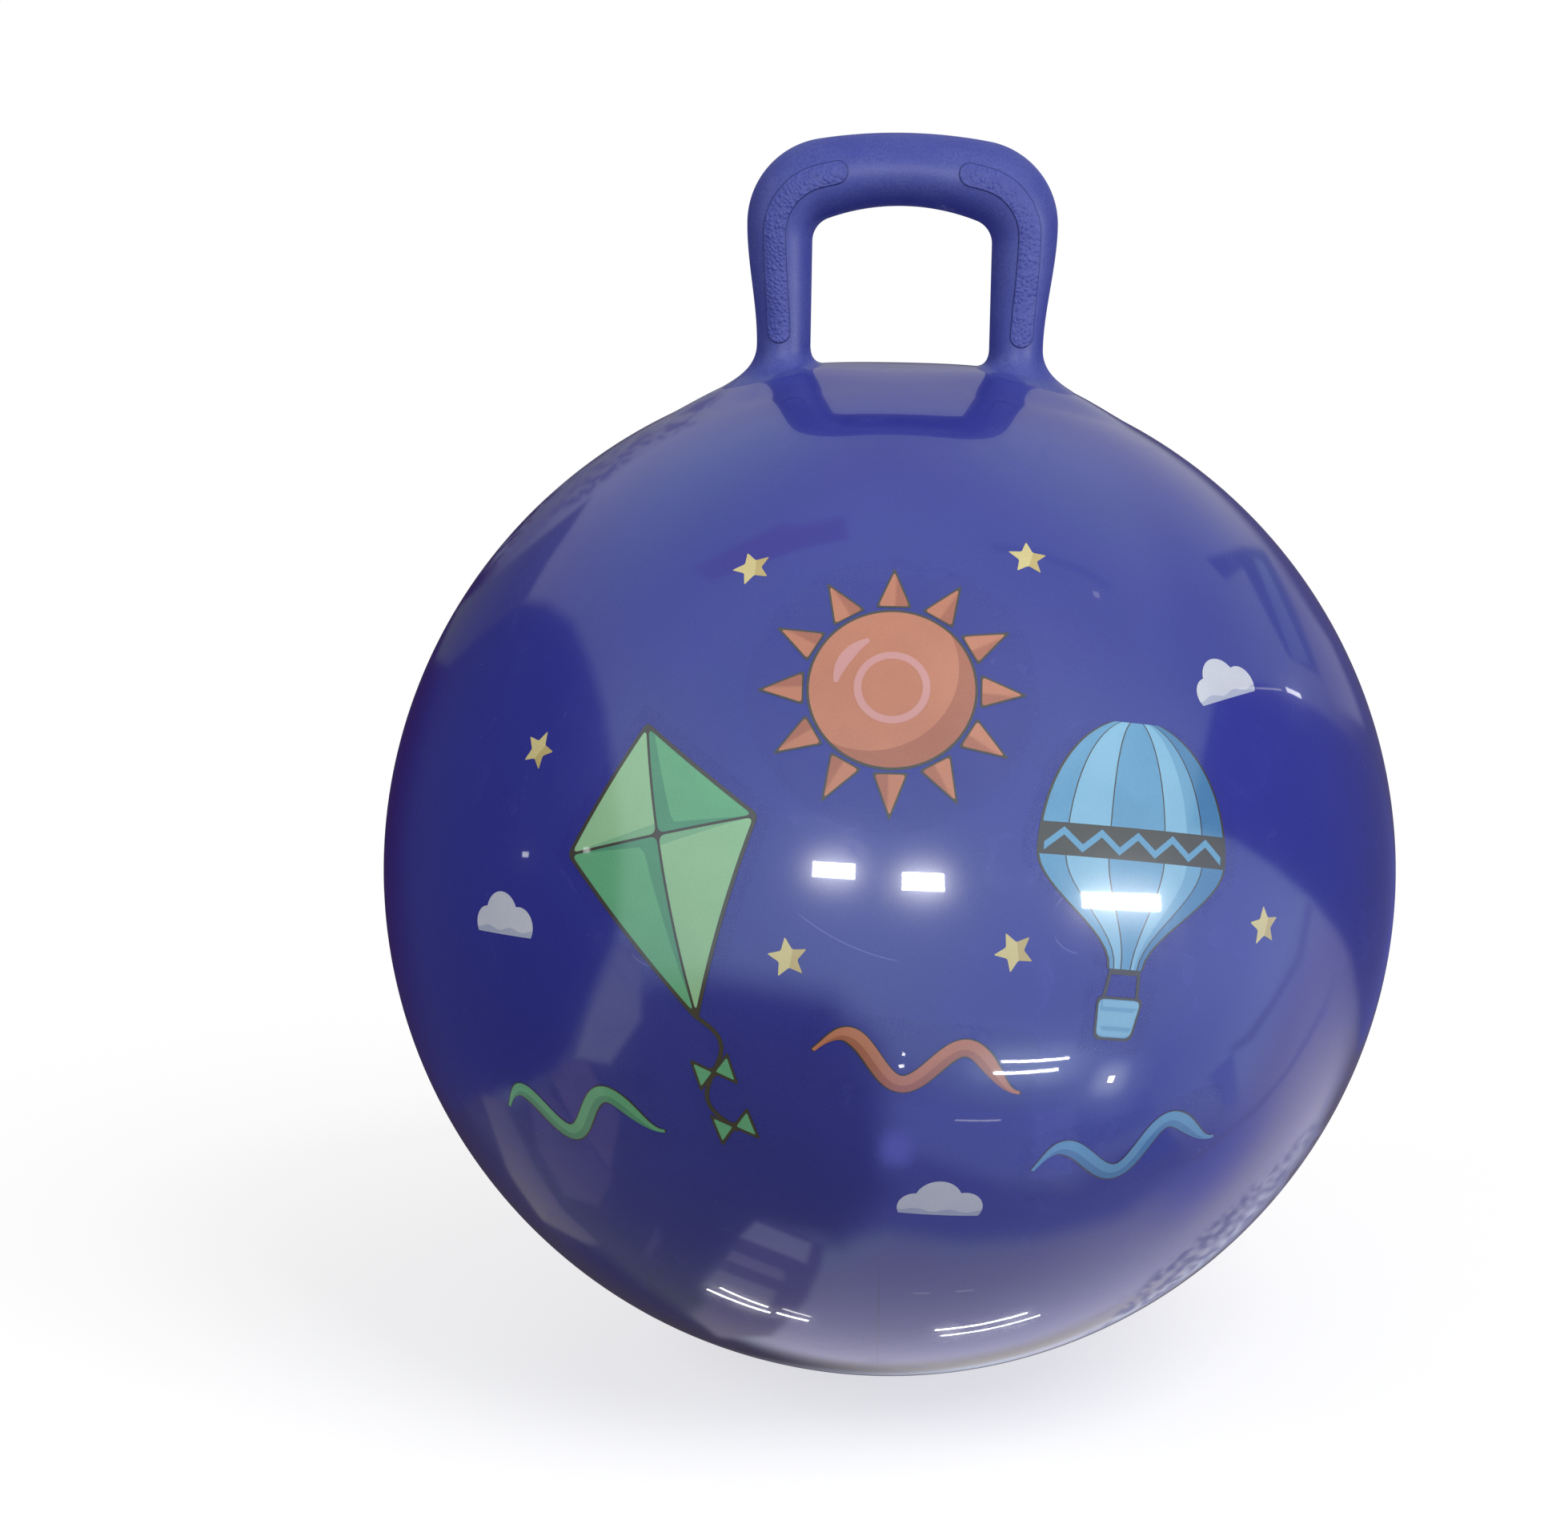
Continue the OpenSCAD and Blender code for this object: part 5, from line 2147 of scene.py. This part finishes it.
@dataclass(frozen=True)
class FlatPanel:
    """A panel of the light tent with straight edges: its corners in degrees, and its light."""

    corners: tuple[Pair, ...]
    soft: float
    colour: Place
    speckled: bool = False

    def share(self, way: np.ndarray) -> np.ndarray:
        """Tell how far directions lie inside the panel.

        Args:
            way: Directions, one a row.

        Returns:
            1 inside, 0 outside.
        """
        rim = on_mirror(np.array([heading(*corner) for corner in self.corners]))
        spots = on_mirror(way)
        share = np.zeros(len(way))
        low, high = rim.min(axis=0) - self.soft, rim.max(axis=0) + self.soft
        near = np.flatnonzero(np.all((spots > low) & (spots < high), axis=1))
        if not len(near):
            return share
        gap = np.full(len(near), 1e3)
        for a, b in zip(rim, np.roll(rim, -1, axis=0)):
            along = np.clip(((spots[near] - a) @ (b - a)) / max(1e-9, float((b - a) @ (b - a))), 0, 1)
            gap = np.minimum(gap, np.hypot(*(spots[near] - a - along[:, None] * (b - a)).T))
        gap = np.where(holds(rim, spots[near]), gap, -gap)
        share[near] = smooth(0.5 + gap / self.soft)
        if self.speckled:
            grain = [noise.noise(Vector((*(spots[k] / SPECKLE), 0))) for k in near]
            share[near] *= smooth((np.array(grain) + 0.1) * 5)
        return share


# The tent's panels, drawn after the reflections on the ball in the photograph
PANELS: tuple[RoundPanel | FlatPanel, ...] = (
    # Broad soft panels behind the ball, at its sides and below it
    RoundPanel(180, 30, 78, 50, 0.45, (0.44, 0.45, 0.54)),
    RoundPanel(118, 56, 26, 14, 0.8, (0.66, 0.79, 0.88)),
    RoundPanel(-126, 54, 26, 14, 0.8, (0.54, 0.67, 0.78)),
    RoundPanel(180, 32, 14, 9, 0.8, (0.36, 0.36, 0.44)),
    RoundPanel(180, 10, 13, 9, 0.8, (0.75, 0.75, 0.8)),
    RoundPanel(-165, 8, 30, 16, 0.4, (0.29, 0.29, 0.34)),
    RoundPanel(112, 27, 26, 14, 0.5, (0.42, 0.49, 0.66)),
    RoundPanel(15, 0, 60, 34, 0.9, (1.25, 1.6, 2.0)),
    RoundPanel(60, -22, 45, 24, 0.5, (1.0, 1.25, 2.0)),
    RoundPanel(20, -46, 50, 14, 0.4, (0.68, 0.83, 1.7)),
    RoundPanel(118, -26, 20, 18, 0.4, (0.75, 0.74, 1.08)),
    # The low panels, pale at the right and dark at the left
    FlatPanel(((-163, -51), (-145, -66), (-121, -71), (-102, -77), (-34, -80), (9, -74), (52, -77),
        (77, -67), (99, -58), (101, -44), (114, -34), (116, -24), (152, -20), (161, -19), (154, -26),
        (158, -30), (168, -29), (175, -26), (180, -34), (-175, -30)), 8, (0.81, 0.77, 0.97)),
    RoundPanel(180, -20, 40, 11, 0.4, (0.15, 0.13, 0.15)),
    RoundPanel(128, -61, 24, 10, 0.8, (0.86, 0.84, 1.12)),
    RoundPanel(176, -43, 15, 6, 0.7, (0.6, 0.57, 0.53)),
    RoundPanel(100, -44, 12, 8, 0.8, (0.46, 0.49, 1.16)),
    FlatPanel(((-14, -62), (7, -50), (36, -56), (59, -56), (68, -47), (84, -43), (98, -44), (94, -57),
        (74, -67), (40, -73), (0, -71), (-31, -73)), 6, (0.37, 0.41, 0.88)),
    FlatPanel(((-39, -11), (-62, -15), (-81, -29), (-107, -33), (-136, -30), (-152, -25), (-157, -26),
        (-168, -24), (-164, -31), (-167, -36), (-151, -56), (-121, -66), (-61, -68), (-27, -74), (0, -60),
        (-1, -40), (-2, -24), (-12, -14)), 10, (0.15, 0.15, 0.08)),
    RoundPanel(-154, -33, 21, 17, 0.3, (0.06, 0.05, 0.06)),
    RoundPanel(-124, -30, 12, 5, 0.5, (0.1, 0.09, 0.1)),
    FlatPanel(((-155, -50), (-134, -63), (-104, -68), (-64, -66), (-51, -65), (-37, -74), (-60, -79),
        (-129, -77), (-152, -67), (-161, -57), (-163, -50), (-166, -42)), 2, (0.33, 0.29, 0.34)),
    FlatPanel(((46, -36), (55, -33), (65, -35), (72, -40), (64, -44), (54, -48)), 1.5, (0.55, 0.7, 1.65)),
    FlatPanel(((36, -40), (46, -38), (58, -52), (46, -55)), 1.2, (0.85, 1.0, 2.2)),
    FlatPanel(((71, -45), (77, -41), (86, -44), (80, -49)), 1.2, (0.3, 0.38, 1.08)),
    FlatPanel(((81, -32), (86, -28), (97, -35), (96, -37), (88, -35)), 1.2, (0.52, 0.62, 1.35)),
    RoundPanel(2.2, -48.6, 2.6, 3.8, 0.7, (0.98, 1.05, 3.3)),
    # The haze round the two near tubes and the spot lamp
    RoundPanel(32.3, -29.3, 14, 7, 0.8, (1.2, 1.6, 2.4)),
    RoundPanel(32.3, -29.5, 9.5, 3.4, 0.8, (2.8, 3.5, 4.4)),
    RoundPanel(52.6, -32.8, 6, 5.4, 0.9, (1.3, 1.6, 2.7)),
    RoundPanel(52.8, -32.6, 2.8, 2.6, 0.9, (3.6, 4.1, 5.0)),
    # Small panels at the lower left
    FlatPanel(((-59, -7), (-53, -8), (-55, -21), (-67, -30), (-77, -29), (-66, -17)), 2, (0.88, 0.93, 0.85)),
    FlatPanel(((-82, -30), (-74, -29), (-72, -40), (-90, -48), (-89, -40), (-88, -32)), 1.2,
        (0.42, 0.34, 0.34)),
    FlatPanel(((-99, -33), (-91, -34), (-90, -42), (-91, -49), (-112, -50), (-121, -45), (-112, -40)), 1.2,
        (0.3, 0.26, 0.24)),
    FlatPanel(((-122, -31), (-112, -33), (-121, -40), (-130, -44), (-134, -48), (-140, -45), (-149, -36),
        (-140, -35), (-129, -34)), 1.2, (0.28, 0.25, 0.22)),
    FlatPanel(((-97, -58), (-106, -59), (-125, -56), (-123, -56)), 1, (0.28, 0.26, 0.3)),
    FlatPanel(((-56, -65), (-43, -73), (-64, -77), (-72, -67)), 1.2, (0.95, 0.97, 1.2)),
    FlatPanel(((-86, -68), (-86, -76), (-103, -76), (-97, -68)), 1, (0.66, 0.58, 0.74)),
    FlatPanel(((-109, -67), (-119, -74), (-144, -67), (-128, -63)), 1.2, (0.66, 0.63, 0.68)),
    # The dark panels at the left, with a bar over them
    RoundPanel(-152, -7, 27, 14, 0.3, (0.04, 0.03, 0.06)),
    FlatPanel(((-129, 24), (-120, 30), (-107, 35), (-91, 35), (-77, 31), (-67, 23), (-60, 13), (-58, 3),
        (-59, -7), (-66, -17), (-76, -27), (-85, -31), (-100, -33), (-122, -31), (-152, -25), (-160, -20),
        (-164, -16), (-157, -14), (-158, -12), (-159, -9), (-166, -9), (-163, -6), (-161, -2), (-162, -1)),
        4, (0.05, 0.05, 0.13)),
    RoundPanel(-149, -5, 16, 18, 0.8, (0.03, 0.01, 0.06)),
    FlatPanel(((-148, 26), (-140, 28), (-134, 27), (-128, 25), (-134, 15), (-141, 7), (-155, 0), (-162, -1),
        (-149, 12), (-146, 22)), 1.5, (0.09, 0.09, 0.12)),
    # The dark panels at the right, with a frame over them
    RoundPanel(164, -4, 24, 14, 0.3, (0.09, 0.08, 0.16)),
    FlatPanel(((69, 12), (79, 22), (96, 29), (109, 22), (117, 16), (126, 9), (138, 1), (150, -6), (154, -8),
        (164, -12), (167, -14), (161, -16), (159, -18), (156, -20), (148, -21), (137, -20), (124, -16),
        (116, -13), (103, -7), (91, 0), (80, 7)), 2.5, (0.11, 0.12, 0.42)),
    RoundPanel(137, -6, 19, 15, 0.8, (0.08, 0.08, 0.2)),
    FlatPanel(((128, 33), (144, 20), (152, 12), (142, 12), (133, 10), (124, 18), (128, 22), (136, 24),
        (126, 30)), 1.2, (0.13, 0.16, 0.32)),
    FlatPanel(((143, 19), (146, 16), (131, 13), (125, 17)), 0.8, (0.28, 0.35, 0.56)),
    FlatPanel(((150, 12), (149, 9), (150, 4), (148, 1), (147, -1), (132, 7), (133, 10), (140, 13)), 2,
        (0.3, 0.3, 0.43)),
    # Narrow strips above, and at the lower right
    FlatPanel(((82, 72), (90, 64), (92, 57), (92, 52), (96, 52), (96, 57), (95, 64), (89, 73)), 1,
        (0.42, 0.6, 0.72)),
    FlatPanel(((-96, 57), (-85, 59), (-78, 75), (-69, 83), (-119, 82), (-104, 75), (-108, 72)), 1.5,
        (0.53, 0.44, 0.55)),
    FlatPanel(((101, -7), (99, -14), (93, -20), (88, -25), (84, -27), (86, -28), (91, -26), (96, -20),
        (102, -15), (104, -8)), 1.2, (0.6, 0.66, 1.05)),
    FlatPanel(((118, -15), (115, -21), (110, -29), (105, -35), (94, -45), (97, -46), (108, -35), (112, -29),
        (118, -22), (121, -16)), 1, (0.5, 0.5, 0.8)),
    # Speckled panels, seen at a glance along them
    FlatPanel(((167, -35), (145, -47), (136, -42), (138, -34), (145, -28), (164, -21), (166, -23),
        (166, -26), (170, -28), (172, -30)), 2, (0.3, 0.3, 0.48), speckled=True),
    FlatPanel(((-165, -1), (-168, -1), (-172, -3), (-169, 4), (-169, 12), (-164, 26), (-158, 24),
        (-150, 24), (-150, 18), (-150, 12)), 2, (0.14, 0.14, 0.22), speckled=True),
)


class Glow(Enum):
    """How bright a lamp tube is."""

    BRIGHT = 80
    MILD = 24
    FAINT = 7
    DIM = 2.5


# Each row of tubes: its name, middle and size in degrees, its tubes, and how far they drop to the right
TUBE_ROWS = (
    ("near_left", (-11.4, 11.8), (8.9, 3.2), 3, 0.2),
    ("near_right", (7.3, 9.6), (8.7, 3.8), 3, 0.5),
    ("far_right", (49.8, 1.8), (18, 3.2), 2, 3.2),
)

# Each single tube: its two ends and its width in degrees, and its light
TUBES = (
    ((25.2, -28.4), (40.8, -28.0), 0.4, Glow.BRIGHT),
    ((23.8, -30.9), (38.8, -30.4), 0.5, Glow.BRIGHT),
    ((52.3, -32.6), (53.7, -32.6), 1.2, Glow.BRIGHT),
    ((3.0, -26.5), (3.7, -26.6), 0.6, Glow.MILD),
    ((2.3, -29.2), (3.6, -29.2), 0.7, Glow.MILD),
    ((123.4, -86.3), (115.9, -84.0), 0.2, Glow.DIM),
    ((111.3, -80.6), (110.6, -78.2), 0.2, Glow.DIM),
    ((-131.2, -62.7), (-143.9, -67.8), 0.6, Glow.MILD),
    ((-126.6, -65.4), (-138.5, -69.3), 0.5, Glow.MILD),
    ((-143.8, -68.9), (-153.1, -70.5), 0.6, Glow.MILD),
    ((-139.7, -71.2), (-150.1, -72.5), 0.5, Glow.FAINT),
    ((165.5, -69.9), (144.3, -64.4), 0.6, Glow.MILD),
    ((166.7, -66.5), (147.4, -61.1), 0.45, Glow.MILD),
    ((16.6, -41.6), (28.2, -41.5), 0.25, Glow.FAINT),
    ((-85.5, 3.2), (-83.6, 3.6), 0.8, Glow.FAINT),
    ((-68.8, 7.8), (-67.1, 8.2), 0.9, Glow.FAINT),
    ((115.3, 17.8), (119.3, 14.8), 0.7, Glow.FAINT),
    ((99.7, 25.7), (113.6, 18.6), 0.25, Glow.DIM),
    ((86.6, 54.1), (87.5, 53.1), 1.4, Glow.DIM),
)


@dataclass(frozen=True)
class LampLight(Finish):
    """The even light of a lamp tube."""

    strength: float

    def surface(self, add: Adder, place: Socket) -> Socket:
        """Draw plain white light."""
        return add(Node.GLOW, WHITE, self.strength)


@dataclass(frozen=True)
class TentCloth(Finish):
    """Cloth with the tent's panels painted on it in light."""

    name: str = "tent_cloth"

    def surface(self, add: Adder, place: Socket) -> Socket:
        """Draw the painted light."""
        return add(Node.GLOW, add(Node.ATTRIBUTE, read="Color", attribute_name="panel_light"), 1.0)


@dataclass(frozen=True)
class MattPaper(Finish):
    """Matt paper that the camera sees turn white away from the ball and keep its shadow near it."""

    name: str = "matt_white_paper_floor"
    colour: str = "#b8b8b8"
    lift: float = 0.68
    fades: Pair = (0.2, 0.75)

    def surface(self, add: Adder, place: Socket) -> Socket:
        """Draw the paper.

        Args:
            add: Adds a node.
            place: The point's coordinates.

        Returns:
            The shader.
        """
        camera = add(Node.RAY)
        far = add(Node.EASE, add(Node.LENGTH, place), *self.fades, 0.0, 1.0)
        lift = add(Node.GLOW, WHITE, add(Node.TIMES, camera, self.lift))
        near = add(Node.BOTH, add(Node.PAPER, linear(self.colour)), lift)
        return add(Node.EITHER, add(Node.TIMES, far, camera), near, add(Node.GLOW, WHITE, 1.0))


@dataclass
class Studio:
    """The camera, the lamps, the world, the pale floor and the tent that the gloss mirrors."""

    centre: Vector
    frame: Pair = (1959, 1904)
    ball_pixel: Pair = (1109.5, 1084.8)
    focal_pixels: float = 5014.0
    sensor: float = 36.0
    distance: float = 1.8
    elevation: float = FRONT
    lean: float = 1.3
    fill: float = 0.27
    floor_reach: float = 9
    tent_radius: float = 3.0
    tube_gap: float = 0.1
    tube_fill: float = 0.82
    tent_rings: int = 300
    tent_sides: int = 600
    walls: Place = (0.77, 0.94, 1.11)
    # Each lamp's name, its place from the ball's middle, its side and its power in watts
    lamps: tuple[tuple[str, Place, float, float], ...] = (
        ("key_lamp", (0.95, -1.15, 1.53), 1.3, 27),
        ("side_lamp", (-1.7, -0.8, 0.9), 1.0, 9),
        ("rear_lamp", (0.5, 1.9, 0.25), 1.2, 9),
    )

    def back(self) -> Vector:
        """Give the direction from the ball to the camera."""
        return heading(0, self.elevation)

    def camera(self) -> None:
        """Put the camera where the photograph was taken from."""
        data = bpy.data.cameras.new("camera")
        data.sensor_width = self.sensor
        data.lens = self.focal_pixels * self.sensor / self.frame[0]
        camera = add_thing("camera", data)
        camera.location = self.centre + self.back() * self.distance
        right, down = ((at - size / 2) / self.focal_pixels for at, size in zip(self.ball_pixel, self.frame))
        aim = Vector((0, 0, -1)).rotation_difference(Vector((right, -down, -1)))
        level = (-self.back()).to_track_quat("-Z", "Y") @ Quaternion((0, 0, 1), math.radians(self.lean))
        camera.rotation_mode = "QUATERNION"
        camera.rotation_quaternion = level @ aim.inverted()
        bpy.context.scene.camera = camera

    def world(self) -> None:
        """Light the scene evenly, with a white background for the eye and for the gloss."""
        world = bpy.data.worlds.new("studio")
        bpy.context.scene.world = world
        world.use_nodes = True
        world.node_tree.nodes.clear()
        add = partial(add_node, world.node_tree)
        seen = add(Node.MOST, add(Node.RAY), add(Node.RAY, read="Is Glossy Ray"))
        seen = add(Node.MOST, seen, add(Node.RAY, read="Is Transmission Ray"))
        fill, white = (add(Node.SKY, WHITE, strength) for strength in (self.fill, 1.0))
        add(Node.SKY_OUTPUT, add(Node.EITHER, seen, fill, white))

    def lamp(self, name: str, place: Place, size: float, power: float) -> None:
        """Add a soft square lamp that faces the ball and that the gloss doesn't mirror.

        Args:
            name: The lamp's name.
            place: Where it hangs, from the ball's middle.
            size: The length of its side.
            power: Its power in watts.
        """
        data = bpy.data.lights.new(name, "AREA")
        data.shape, data.size, data.energy = "SQUARE", size, power
        lamp = add_thing(name, data)
        lamp.location = self.centre + Vector(place)
        lamp.rotation_mode = "QUATERNION"
        lamp.rotation_quaternion = (-Vector(place)).to_track_quat("-Z", "Y")
        lamp.visible_camera = lamp.visible_glossy = False

    def staged(self, name: str, points: Sequence, faces: Sequence, material: Material) -> Thing:
        """Add a mesh of the studio.

        Args:
            name: The mesh's name.
            points: Its points.
            faces: Its faces.
            material: Its material.

        Returns:
            The object.
        """
        thing = add_mesh(name, points, faces, material)
        return thing

    def floor(self) -> None:
        """Lay the pale floor, which the gloss doesn't mirror: from below it mirrors the tent."""
        r = self.floor_reach
        corners = [(-r, -r, 0), (r, -r, 0), (r, r, 0), (-r, r, 0)]
        self.staged("floor", corners, [(0, 1, 2, 3)], MattPaper().material()).visible_glossy = False

    def hang(self, thing: Thing) -> None:
        """Hang a mesh round the ball, leaning like the camera, and let only the gloss see it.

        Args:
            thing: The mesh, drawn about the ball's middle.
        """
        thing.location = self.centre
        thing.rotation_mode = "QUATERNION"
        thing.rotation_quaternion = Quaternion(self.back(), math.radians(self.lean))
        thing.visible_camera = thing.visible_diffuse = thing.visible_shadow = False
        thing.visible_transmission = thing.visible_volume_scatter = False

    def tent(self) -> None:
        """Hang the light tent with its panels round the ball, seen by the gloss alone."""
        rise = np.radians(np.linspace(-90, 90, self.tent_rings + 1))[:, None]
        turn = np.radians(np.linspace(0, 360, self.tent_sides, endpoint=False))[None, :]
        level = np.cos(rise)
        axes = (np.sin(turn) * level, -np.cos(turn) * level, np.sin(rise) * np.ones_like(turn))
        way = np.stack(axes, axis=-1).reshape(-1, 3)
        light = np.tile(np.array(self.walls), (len(way), 1))
        for panel in PANELS:
            share = panel.share(way)[:, None]
            light = light * (1 - share) + np.array(panel.colour) * share
        cloth = TentCloth().material()
        cloth.cycles.emission_sampling = "NONE"
        faces = join_rings(self.tent_rings + 1, self.tent_sides)
        tent = self.staged("light_tent", way * self.tent_radius, faces, cloth)
        colours = tent.data.attributes.new("panel_light", "FLOAT_COLOR", "POINT")
        opaque = np.hstack([light, np.ones((len(light), 1))])
        colours.data.foreach_set("color", opaque.astype(np.float32).ravel())
        self.hang(tent)

    def tube(self, name: str, ends: Sequence[Pair], width: float, glow: Material) -> None:
        """Hang a lamp tube just inside the tent.

        Args:
            name: The tube's name.
            ends: The turn and rise of its two ends, in degrees.
            width: Its width in degrees.
            glow: Its material.
        """
        a, b = (heading(*end) * (self.tent_radius - self.tube_gap) for end in ends)
        side = (b - a).cross(a + b).normalized() * (self.tent_radius * math.radians(width) / 2)
        corners = (a - side, a + side, b + side, b - side)
        self.hang(self.staged(name, corners, [(0, 1, 2, 3)], glow))

    def tubes(self) -> None:
        """Hang the rows of lamp tubes and the single ones."""
        glows = {glow: LampLight(glow.name.lower() + "_glow", glow.value).material() for glow in Glow}
        for name, (turn, rise), (wide, high), count, drop in TUBE_ROWS:
            for k in range(count):
                middle = rise + high * ((k + 0.5) / count - 0.5)
                ends = ((turn - wide / 2, middle + drop / 2), (turn + wide / 2, middle - drop / 2))
                self.tube(f"tube_{name}_{k}", ends, self.tube_fill * high / count, glows[Glow.BRIGHT])
        for k, (start, end, width, glow) in enumerate(TUBES):
            self.tube(f"small_tube_{k}", (start, end), width, glows[glow])

    def build(self) -> None:
        """Set up the whole studio."""
        bpy.context.scene.view_settings.view_transform = "Standard"
        self.camera()
        self.world()
        self.floor()
        for lamp in self.lamps:
            self.lamp(*lamp)
        self.tent()
        self.tubes()


def main() -> None:
    """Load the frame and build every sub-assembly in order."""
    logging.basicConfig(level=logging.INFO, format="%(name)s: %(message)s")
    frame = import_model()
    ball = BallForm()
    Studio(ball.centre).build()
    valve = Valve(ball)
    BallSkin(ball).build(valve.turn)
    handle = HandleForm(ball)
    Handle(handle).build()
    GripPads(handle).build()
    valve.build_seat()
    valve.build_plug()
    press = Press(ball)
    for picture in (Kite(press), Sun(press), Balloon(press), SmallPrints(press)):
        picture.build()
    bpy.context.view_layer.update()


if __name__ == "__main__":
    main()
